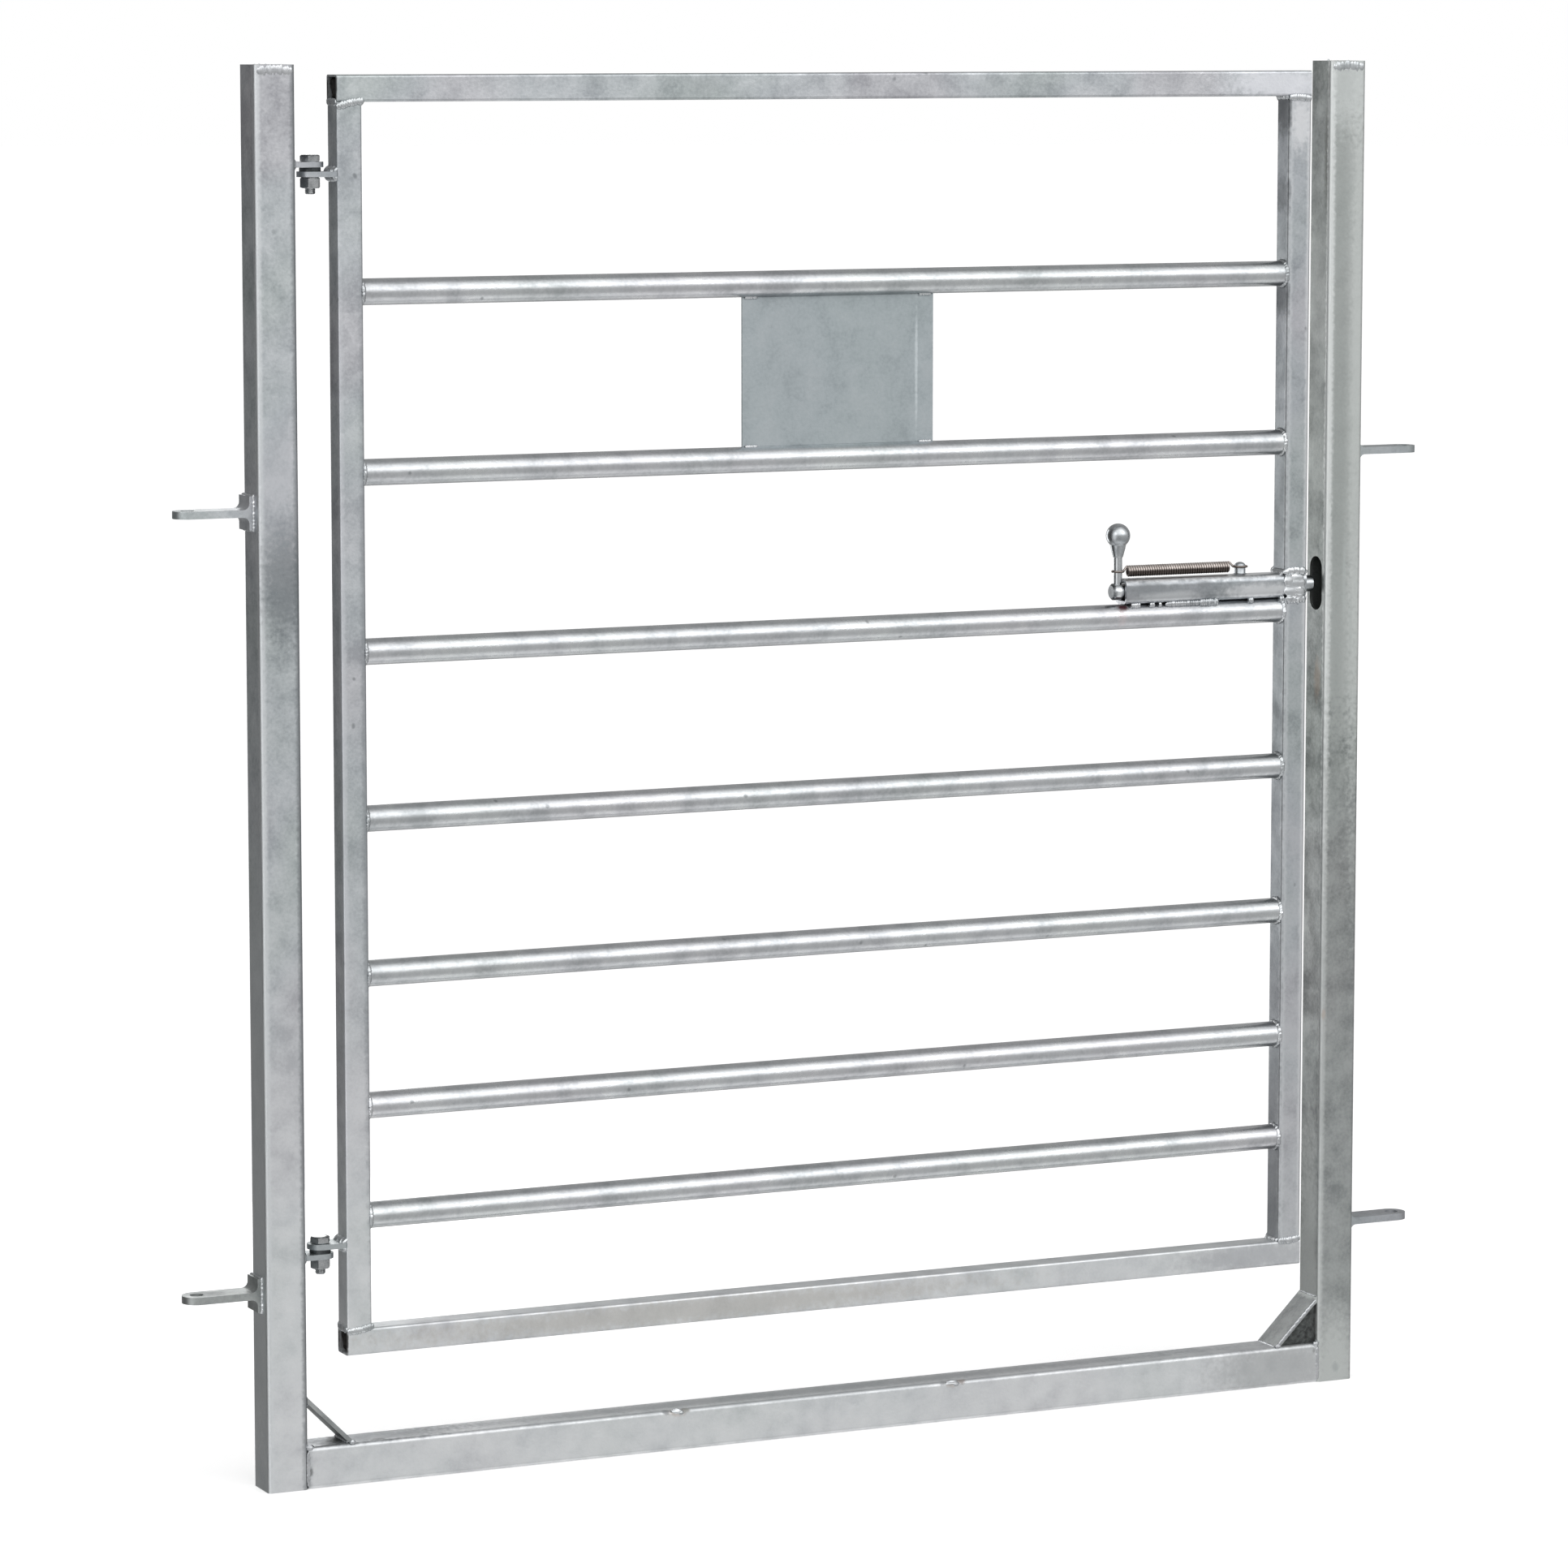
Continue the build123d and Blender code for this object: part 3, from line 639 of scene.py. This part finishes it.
lug_welds = []
for level, number in (("upper", 1), ("lower", 2)):
    low, high = box_mm(level + "_post_lug")
    for z, up in ((high[2], 1), (low[2], -1)):
        line = [(low[0] + 0.8, low[1], z + up * 0.8), (low[0] + 0.8, high[1], z + up * 0.8)]
        frame_welds.append(bead(line, (1, 0, up), 4.0, 2.4, seed=90 + number * 3 + up))
    line = [(low[0] + 0.8, low[1] - 0.3, low[2] - 2), (low[0] + 0.8, low[1] - 0.3, high[2] + 2)]
    frame_welds.append(bead(line, (1, -1, 0), 2.4, 1.6, seed=98 + number))
    low, high = box_mm(level + "_leaf_lug")
    for z, up, wide in ((high[2], 1, 4.6), (low[2], -1, 4.0)):
        line = [(high[0] - 1.0, low[1], z + up * 1.0), (high[0] - 1.0, high[1], z + up * 1.0)]
        lug_welds.append(bead(line, (-1, 0, up), wide, 2.8, seed=110 + number * 3 + up))
piece("leaf_lug_welds", lug_welds, weld_zinc, "gate_leaf")

LINKS = ("hinge_side_lower", "hinge_side_upper", "latch_side_lower", "latch_side_upper")
for number, name in enumerate(LINKS):
    low, high = box_mm(name + "_link_lug")
    sign = -1 if name.startswith("hinge") else 1
    root = high[0] if sign < 0 else low[0]
    path = np.array([(root, low[1], low[2]), (root, low[1], high[2]),
                     (root, high[1], high[2]), (root, high[1], low[2])])
    outs = unit(path - path.mean(0)) + np.array([sign * 0.7, 0, 0])
    frame_welds.append(bead(path + np.array([sign * 0.5, 0, 0]), outs, 1.7, 1.2, seed=130 + number,
                            ring=True, ripple=5.0, uneven=0.25, step=0.7))
piece("frame_welds", frame_welds, weld_zinc, "gate_frame")

# Painted shade: near-black plugs in the open ends of the leaf's top and bottom rails, standing in for the deep
# shade inside them

def shade_fill(name, dark, light):
    """Dark matt fill standing in for deep shade: crumbly, with no gloss, mottled about every 4 mm."""
    material, tree, shader, place = finish_for(name)
    mottle = add(tree, "TexNoise", {"Vector": place, "Scale": per_mm(4), "Detail": 4.0}).outputs["Fac"]
    ramp = add(tree, "ValToRGB", {"Fac": mottle})
    ramp.color_ramp.elements[0].position = 0.3
    ramp.color_ramp.elements[0].color = colour(dark)
    ramp.color_ramp.elements[1].position = 0.7
    ramp.color_ramp.elements[1].color = colour(light)
    tree.links.new(ramp.outputs["Color"], shader.inputs["Base Color"])
    shader.inputs["Roughness"].default_value = 0.95
    shader.inputs["Specular IOR Level"].default_value = 0.2
    bump = add(tree, "Bump", {"Strength": 0.6, "Distance": 0.001, "Height": mottle})
    tree.links.new(bump.outputs[0], shader.inputs["Normal"])
    return material


def shade_plug(x, toward, z, bore, deep=22):
    """Near-black plug standing in for the shade in a square bore: a rounded square of half side bore,
    (1 - d^6)^0.3 of it at d from 0, deep mm inside, to nearly 1 at the crowned face, carried along X."""
    depth = np.linspace(0, 0.93, 12)[:, None]
    turn = np.linspace(0, 2 * math.pi, 40, endpoint=False)
    reach = bore / np.maximum(np.abs(np.cos(turn)), np.abs(np.sin(turn))) * (1 - depth ** 6) ** 0.3
    uneven = 1.2 * np.sin(3 * turn + z) * depth
    along_x = x - toward * (deep - deep * depth + uneven)
    return skin(np.stack([along_x, reach * np.cos(turn), z + reach * np.sin(turn)], -1))


plugs = []
for low, high in ((top_low, top_high), (foot_low, foot_high)):
    for end, toward in ((low[0] + 1, -1), (high[0] - 1, 1)):
        plugs.append(shade_plug(end, toward, (low[2] + high[2]) / 2, (high[2] - low[2]) / 2 - 2.1))
piece("rail_end_mud", plugs, shade_fill("rail_end_painted_shade", "#0A0A09", "#242220"), "gate_leaf")

# Points round the shade wedge's outline
WEDGE_SIDES = 60


def shade_wedge(corner_x, sign, foot_z, reach, front, back):
    """Dark wedge standing in for the deep shade in a corner: a right triangle of side reach, its outline
    scaled by u from near 0 to 1 on a crowned front face at front + 1.5 u^2, then carried straight to back.
    A sine makes the face uneven."""
    corners = np.array([(0.0, 0.0), (-sign * reach, 0.0), (0.0, reach), (0.0, 0.0)])
    t = np.linspace(0, 3, WEDGE_SIDES, endpoint=False)
    outline = np.stack([np.interp(t, range(4), corners[:, k]) for k in range(2)], -1)
    middle = corners[:3].mean(0)
    u = np.linspace(0.06, 1, 12)[:, None]
    angle = 2 * math.pi * t / 3
    face = front + 1.5 * u ** 2 + 0.7 * np.sin(9 * u + 3 * angle) * (1 - u)
    depth = np.vstack([face, np.full((1, WEDGE_SIDES), back)])
    spread = middle + np.vstack([u, [[1.0]]])[..., None] * (outline - middle)
    return skin(np.stack([corner_x + spread[..., 0], depth, foot_z + spread[..., 1]], -1))


# Painted shade: a near-black wedge in the corner under the latch side's brace, where the corner is in deep shade
brace_low, brace_high = box_mm("latch_corner_brace")
corner_shade = shade_wedge(sill_high[0] - 0.3, 1, sill_high[2] + 0.2, brace_high[0] - brace_low[0] - 6.4,
                    front=-15.5, back=16.0)
piece("brace_corner_shade_wedge", [corner_shade], shade_fill("brace_corner_painted_shade", "#2A2B2B", "#4C4F4E"),
      "gate_frame")

# Drips of zinc left on the sill's top front edge

drips = []
for x, seed in ((-166, 3), (131, 5)):
    drips.append(lump((x, sill_low[1] + 1.2, sill_high[2] - 1.2), (6.5, 2.4, 2.6), seed))
    drips.append(lump((x + 4.5, sill_low[1] + 0.6, sill_high[2] - 3.2), (3.4, 1.6, 2.2), seed + 1))
piece("zinc_drips", drips, weld_zinc, "gate_frame")

# Welds of the latch housing: heavy round the stile, and stitches down to the rail

house_low, house_high = box_mm("latch_housing")
latch_z = (house_low[2] + house_high[2]) / 2
house_welds = []

# Where the stitches start and end along X in mm, and their size
STITCHES = ((330, 341, 1.0), (351, 357, 0.9), (361, 365, 0.8), (369, 411, 1.0), (407, 429, 1.5),
            (462, 469, 1.1), (497, 504, 1.2))
edge_x0, edge_x1 = latch_low[0], latch_high[0]
for sign in (-1, 1):
    y = sign * (half + 0.1)
    arc = np.linspace(0, math.pi, 14)
    middle_x = (edge_x0 + edge_x1) / 2
    crown = np.stack([middle_x - 1 - 12.5 * np.cos(arc), 0 * arc + y,
                      house_high[2] - 1.0 + 3.5 * np.sin(arc)], -1)
    house_welds.append(bead(crown, (0, sign, 0), 4.0, 2.4, seed=150 + sign, ripple=7.0))
    belly = np.stack([middle_x - 11.0 * np.cos(arc), 0 * arc + y,
                      house_low[2] + 0.5 - 2.0 * np.sin(arc)], -1)
    house_welds.append(bead(belly, (0, sign, 0), 4.2, 2.2, seed=155 + sign, ripple=8.0, uneven=0.3))
    house_welds.append(lump((middle_x - 1, y, latch_z - 1), (11.8, 2.6, 15.0), 6 + sign, 48, 30))
    house_welds.append(lump((edge_x1 - 9.5, y + sign * 1.2, latch_z - 7), (6.2, 2.6, 6.0), 9 + sign))
    house_welds.append(lump((edge_x0 + 5.0, y + sign * 0.8, latch_z - 13), (4.6, 2.4, 4.2), 12 + sign))
    house_welds.append(lump((edge_x0 + 4.0, y + sign * 0.6, latch_z + 5), (5.0, 2.0, 7.0), 15 + sign))
    for start, end, swell in STITCHES:
        groove = [(start, sign * 8.6, house_low[2] - 1.2), (end, sign * 8.6, house_low[2] - 1.2)]
        house_welds.append(bead(groove, (0, sign, -0.35), 3.0 * swell, 2.3 * swell, seed=int(start) + sign))
for z, up in ((house_high[2], 1), (house_low[2], -1)):
    if up > 0:
        line = [(edge_x0 - 0.8, -half + 1, z + 0.8), (edge_x0 - 0.8, half - 1, z + 0.8)]
        house_welds.append(bead(line, (-1, 0, 1), 3.6, 2.2, seed=170))
    line = [(edge_x1, -half + 2, z + up * 0.6), (edge_x1, half - 2, z + up * 0.6)]
    house_welds.append(bead(line, (1, 0, 0), 3.4, 1.6, seed=171 + up))
piece("latch_housing_welds", house_welds, weld_zinc, "gate_leaf")

# Tacks that hold the sign plate to the rails above and below it

plate_low, plate_high = box_mm("sign_plate")
tacks = []
for x in (plate_low[0] + 9, plate_high[0] - 9):
    for z, up in ((plate_low[2], -1), (plate_high[2], 1)):
        for y, sign in ((plate_low[1], -1), (plate_high[1], 1)):
            line = [(x - 7, y + sign * 0.4, z - up * 0.4), (x + 7, y + sign * 0.4, z - up * 0.4)]
            tacks.append(bead(line, (0, sign, -up), 2.0, 1.4, seed=int(180 + x / 40) + up + sign))
piece("sign_plate_tacks", tacks, weld_zinc, "gate_leaf")

# Hinge bolts and nuts: hexagons with turned chamfers, and a threaded tail

FLATS, HEAD_HIGH, CROWN = 17.0, 6.5, 8.1


def hexagon(turn):
    """Radius of a hexagon with its corners at 0, 60 and so on degrees: half the flats over the cosine of
    the angle from the nearest flat's middle."""
    return FLATS / 2 / np.cos(np.mod(turn, math.pi / 3) - math.pi / 6)


def thread(radius, bottom, top, x, pitch=1.5, sides=48):
    """Screw thread: radius less 0.54 times a triangle wave of z / pitch - angle / 2 pi, run out at its
    end."""
    turn = np.linspace(0, 2 * math.pi, sides, endpoint=False)
    z = np.linspace(bottom, top, int((top - bottom) / pitch * 10) + 2)[:, None]
    wave = np.abs(np.mod(z / pitch - turn / (2 * math.pi), 1) - 0.5) * 2
    shape = np.minimum(radius - 0.54 * wave, radius - 1.1 + (z - bottom))
    return skin(np.stack([x + shape * np.cos(turn), shape * np.sin(turn), z * np.ones(sides)], -1))


for level in ("upper", "lower"):
    low, high = box_mm(level + "_hinge_bolt")
    nut_low, nut_high = box_mm(level + "_hinge_nut")
    x = (low[0] + high[0]) / 2
    head_foot = high[2] - HEAD_HIGH
    head = [(CROWN * 0.99, head_foot), (CROWN, head_foot + 0.4), (12, head_foot + 0.5), (12, high[2] - 1.6)]
    head += [(CROWN + depth * 1.75, high[2] - depth - 0.25) for depth in (1.2, 0.9, 0.6, 0.3, 0.1, 0.0)]
    head += [(7.7, high[2] - 0.1), (6.0, high[2] - 0.02), (3.0, high[2])]
    shank = [(4.95, nut_high[2] - 2), (5.0, nut_high[2]), (5.0, head_foot)]
    bolt = piece(level + "_hinge_bolt_detail", [
        turned(head, x, 0, 72, hexagon),
        turned(shank, x, 0, 48),
        thread(5.0, low[2], nut_high[2] - 1.5, x),
    ], bolt_zinc, "gate_frame", 30.0)
    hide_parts(level + "_hinge_bolt")
    body = [(CROWN + depth * 1.75, nut_low[2] + depth) for depth in (0.0, 0.15, 0.3, 0.6, 0.9, 1.2)]
    body += [(12, nut_low[2] + 1.5), (12, nut_high[2] - 1.5)]
    body += [(CROWN + depth * 1.75, nut_high[2] - depth) for depth in (1.2, 0.9, 0.6, 0.3, 0.15, 0.0)]
    nut = piece(level + "_hinge_nut_detail", [turned(body, x, 0, 72, hexagon)],
                bolt_zinc, "gate_frame", 30.0)
    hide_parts(level + "_hinge_nut")

# Latch housing: a square tube with well rounded corners and an open slot for the stem in its top

def slotted_tube(x0, x1, slot_end, slot_half, side, wall, corner, z):
    """Square tube along X: a rounded outline is carried along, cut at its top by a slot whose half width
    is slot_half up to slot_end, then the root of slot_half^2 - (x - slot_end)^2, and no width after that.
    There the slot's two walls fall on each other, so they are taken out and their points merged."""
    round_end = slot_end + slot_half * np.sin(np.linspace(0, math.pi / 2, 12))
    x = np.unique(np.r_[x0, np.linspace(x0, slot_end, 6), round_end,
                        np.linspace(slot_end + slot_half, x1, 30)])
    bow = np.sqrt(np.maximum(slot_half ** 2 - (x - slot_end) ** 2, 0.0))
    gap = np.where(x < slot_end, slot_half, bow)
    loops = []
    for half_side, round_r, flip in ((side / 2, corner, 1), (side / 2 - wall, 1.2, -1)):
        quarter = np.linspace(math.pi / 2, 0, 9)
        turns = np.concatenate([quarter - k * math.pi / 2 for k in range(4)])
        arc = np.stack([np.cos(turns), np.sin(turns)], -1)
        middles = np.repeat(np.array([(1, 1), (1, -1), (-1, -1), (-1, 1)]), 9, 0) * (half_side - round_r)
        ring = np.broadcast_to(middles + round_r * arc, (len(x), 36, 2))
        right_lip = np.stack([gap, 0 * gap + half_side], -1)[:, None]
        loops.append(np.concatenate([right_lip, ring, right_lip * np.array([-1, 1])], 1)[:, ::flip])
    outline = np.concatenate(loops, 1)
    along_x = x[:, None, None] * np.ones(outline.shape[:2] + (1,))
    points, faces = skin(np.concatenate([along_x, outline + np.array([0, z])], -1))
    walls, ends = faces[:-2], faces[-2:]
    for end in ends:
        walls += [[end[k], end[k + 1], end[-2 - k], end[-1 - k]] for k in range(len(end) // 2 - 1)]
    merged, number = np.unique(np.round(points, 4), axis=0, return_inverse=True)
    number = number.ravel()
    walls = [list(dict.fromkeys(number[wall].tolist())) for wall in walls]
    shared = Counter(frozenset(wall) for wall in walls)
    return merged, [wall for wall in walls if len(wall) > 2 and shared[frozenset(wall)] == 1]


stem_low, stem_high = box_mm("handle_stem")
travel = [joint for joint in frame["joints"] if joint["name"] == "latch_slide"][0]["range_m"][1] / MM
slot_end = (stem_low[0] + stem_high[0]) / 2 + travel
slot_half = (stem_high[1] - stem_low[1]) / 2 + 1.0
tube = slotted_tube(house_low[0], house_high[0], slot_end, slot_half,
                    side=25.0, wall=3.5, corner=7.5, z=latch_z)
housing = piece("latch_housing_tube", [tube], house_zinc, "gate_leaf")
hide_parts("latch_housing")

# Latch: smooth ball handle, domed peg and the wound spring

knob_low, knob_high = box_mm("handle_knob")
peg_low, peg_high = box_mm("spring_peg")
stem_x = (stem_low[0] + stem_high[0]) / 2
peg_x = (peg_low[0] + peg_high[0]) / 2
BALL_R, NECK_R = 12.0, 8.2
ball_z = knob_high[2] - BALL_R
angles = np.linspace(0.01, math.pi - math.asin(NECK_R / BALL_R), 40)
knob_rows = np.stack([BALL_R * np.sin(angles), ball_z + BALL_R * np.cos(angles)], -1).tolist()
neck_r, neck_z = knob_rows[-1]
taper = np.linspace(0.04, 1, 14)
knob_rows += np.stack([neck_r - 0.2 - 2.9 * taper ** 1.2,
                       neck_z + (knob_low[2] + 0.7 - neck_z) * taper], -1).tolist()
knob_rows += [(4.8, knob_low[2] + 0.15), (4.3, knob_low[2])]
knob = piece("handle_knob_ball", [turned(knob_rows, stem_x, 0, 72)], latch_zinc,
             "latch_bolt", 50.0)
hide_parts("handle_knob")

PEG_R, DOME_HIGH = 5.5, 4.0
dome = np.linspace(0.02, math.pi / 2, 16)
peg_rows = np.stack([PEG_R * np.sin(dome), peg_high[2] - DOME_HIGH + DOME_HIGH * np.cos(dome)], -1).tolist()
peg_rows += [(PEG_R, peg_low[2] + 1.2), (6.0, peg_low[2] + 0.5), (6.9, peg_low[2])]
peg = piece("spring_peg_dome", [turned(peg_rows, peg_x, 0, 48)], plate_zinc,
            "gate_leaf", 50.0)
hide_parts("spring_peg")

# The spring: turns, wire's radius, height over the bolt, coil's radius, gaps to stem and peg, stem's radius
COIL_TURNS, WIRE, SPRING_UP, COIL_OUTSIDE, STEM_GAP, PEG_GAP, STEM_R = 43, 1.2, 20.0, 5.7, 9.5, 12.0, 4.25
spring_z = latch_z + SPRING_UP
left, right = stem_x + STEM_GAP + WIRE, peg_x - PEG_GAP - WIRE
coil_r = COIL_OUTSIDE - WIRE
t = np.linspace(0, 1, COIL_TURNS * 22)
phase = 2 * math.pi * COIL_TURNS * t + math.pi / 2
coil = np.stack([left + (right - left) * t, coil_r * np.cos(phase), spring_z + coil_r * np.sin(phase)], -1)
coil_out = np.stack([0 * t, np.cos(phase), np.sin(phase)], -1)


def hook(eye_x, ring_r, coil_end, sign):
    """Hook of the spring: a ring of radius ring_r round an upright pin, then a line that rises from the
    ring to the coil's end by a smooth step."""
    turn = np.linspace(0, 1.85 * math.pi, 60)
    circle = np.stack([eye_x - sign * ring_r * np.cos(turn), ring_r * np.sin(turn), spring_z + 0 * turn], -1)
    first = np.array([eye_x + sign * ring_r, 0, spring_z])
    share = np.linspace(0, 1, 40)[:, None]
    ease = share * share * (3 - 2 * share)
    reach = first + (np.asarray(coil_end) - first) * np.hstack([share, ease, ease])
    return circle[::-1], reach


left_circle, left_reach = hook(stem_x, STEM_R + WIRE, coil[0], 1)
right_circle, right_reach = hook(peg_x, PEG_R + WIRE, coil[-1], -1)
backwards, upwards = np.array([[0.0, 1.0, 0.0]]), np.array([[0.0, 0.0, 1.0]])
spring = piece("latch_spring_coil", [
    wire(coil, coil_out, WIRE),
    wire(left_reach, backwards, WIRE),
    wire(left_circle, upwards, WIRE),
    wire(right_reach, backwards, WIRE),
    wire(right_circle, upwards, WIRE),
], spring_brown, None, 60.0)
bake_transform(spring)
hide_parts("latch_spring")

# Pale floor: a disc in metres, just under the gate, that stays out of the zinc's reflections

FLOOR_R, FLOOR_DROP, FLOOR_SIDES = 60, 0.0005, 96
floor_mesh = bpy.data.meshes.new("floor")
turn = np.linspace(0, 2 * math.pi, FLOOR_SIDES, endpoint=False)
rim = np.stack([FLOOR_R * np.cos(turn), FLOOR_R * np.sin(turn), 0 * turn - FLOOR_DROP], -1)
floor_mesh.from_pydata(rim.tolist(), [], [list(range(FLOOR_SIDES))])
floor = bpy.data.objects.new("floor", floor_mesh)
scene.collection.objects.link(floor)
floor_paint, _, shader, _ = finish_for("pale_floor")
shader.inputs["Base Color"].default_value = colour("#DCDCDC")
shader.inputs["Roughness"].default_value = 1.0
shader.inputs["Specular IOR Level"].default_value = 0.0
shader.inputs["Emission Color"].default_value = colour("#FFFFFF")
shader.inputs["Emission Strength"].default_value = 0.5
floor_mesh.materials.append(floor_paint)
floor.visible_glossy = False

# The sky is bright in front of the gate and to its left front, dim overhead and darkest behind it to the
# left, and the ground below is pale. The camera itself sees a plain white backdrop

world = bpy.data.worlds.new("soft_studio")
scene.world = world
world.use_nodes = True
tree = world.node_tree
way = add(tree, "SeparateXYZ", {0: add(tree, "TexCoord").outputs["Generated"]}).outputs


def fade(source, start, end, low, high):
    """Smooth step of a direction's share from start to end, from low to high."""
    return add(tree, "MapRange", {"Value": source, "From Min": start, "From Max": end,
                                  "To Min": low, "To Max": high}, interpolation_type="SMOOTHSTEP").outputs[0]


above = fade(way["Z"], 0.02, 0.28, 0.0, 1.0)
front_sky = add(tree, "Math", {0: above, 1: fade(way["Y"], -0.05, -0.7, 0.0, 1.3)},
                operation="MULTIPLY").outputs[0]
front_ground = fade(way["Y"], 0.25, -0.6, 0.0, 0.24)
to_right = fade(way["X"], 0.3, 0.62, 1.0, 0.62)
near_ground = fade(way["Z"], -0.6, -0.9, 0.0, 0.6)
front = add(tree, "Math", {0: front_ground, 1: front_sky}, operation="ADD").outputs[0]
all_round = add(tree, "Math", {0: fade(way["X"], -0.9, -0.35, 0.1, 0.32),
                               1: fade(way["X"], -0.3, 0.5, 0.0, 0.14)}, operation="ADD").outputs[0]
left_front = add(tree, "Math", {0: fade(way["X"], -0.5, -0.85, 0.0, 1.0),
                                1: fade(way["Y"], 0.1, -0.45, 0.0, 1.0)}, operation="MULTIPLY").outputs[0]
glow = add(tree, "Math", {0: front, 1: to_right, 2: all_round}, operation="MULTIPLY_ADD").outputs[0]
for share in (left_front, near_ground):
    glow = add(tree, "Math", {0: glow, 1: share}, operation="ADD").outputs[0]
studio = tree.nodes["Background"]
studio.inputs["Color"].default_value = colour("#FFFFFF")
tree.links.new(glow, studio.inputs["Strength"])
backdrop = add(tree, "Background", {"Color": colour("#FFFFFF"), "Strength": 1.0})
to_camera = add(tree, "LightPath").outputs["Is Camera Ray"]
seen = add(tree, "MixShader", {0: to_camera, 1: studio.outputs[0], 2: backdrop.outputs[0]})
tree.links.new(seen.outputs[0], tree.nodes["World Output"].inputs["Surface"])

# Light panels: place and aim in metres, width and height in metres, watts

for name, where, aim, size, power in (
    ("key_panel", (3.0, -4.5, 3.4), (0, 0, 0.7), (2.4, 2.4), 20.0),
    ("fill_panel", (-4.5, -3.5, 3.8), (0, 0, 0.7), (2.0, 2.0), 8.0),
    ("back_panel", (-0.18, 1.3, 0.72), (0.55, 0, 0.72), (0.5, 1.4), 5.0),
):
    lamp = bpy.data.lights.new(name, "AREA")
    lamp.energy = power
    lamp.shape = "RECTANGLE"
    lamp.size, lamp.size_y = size
    panel = bpy.data.objects.new(name, lamp)
    panel.location = where
    panel.rotation_euler = (Vector(aim) - Vector(where)).to_track_quat("-Z", "Y").to_euler()
    panel.visible_camera = False
    scene.collection.objects.link(panel)

# The camera fitted to the photograph: sensor and lens in mm, place in metres, degrees down and to the right
SENSOR, LENS, EYE_AT, LOOK_DOWN, LOOK_RIGHT = 36.0, 141.477, (-2.5339, -5.35, 1.3769), 7.113, 24.97
eye = bpy.data.cameras.new("camera")
eye.sensor_width = SENSOR
eye.lens = LENS
eye.clip_end = 200.0
camera = bpy.data.objects.new("camera", eye)
camera.location = EYE_AT
camera.rotation_euler = (math.radians(90 - LOOK_DOWN), 0, -math.radians(LOOK_RIGHT))
scene.collection.objects.link(camera)
scene.camera = camera
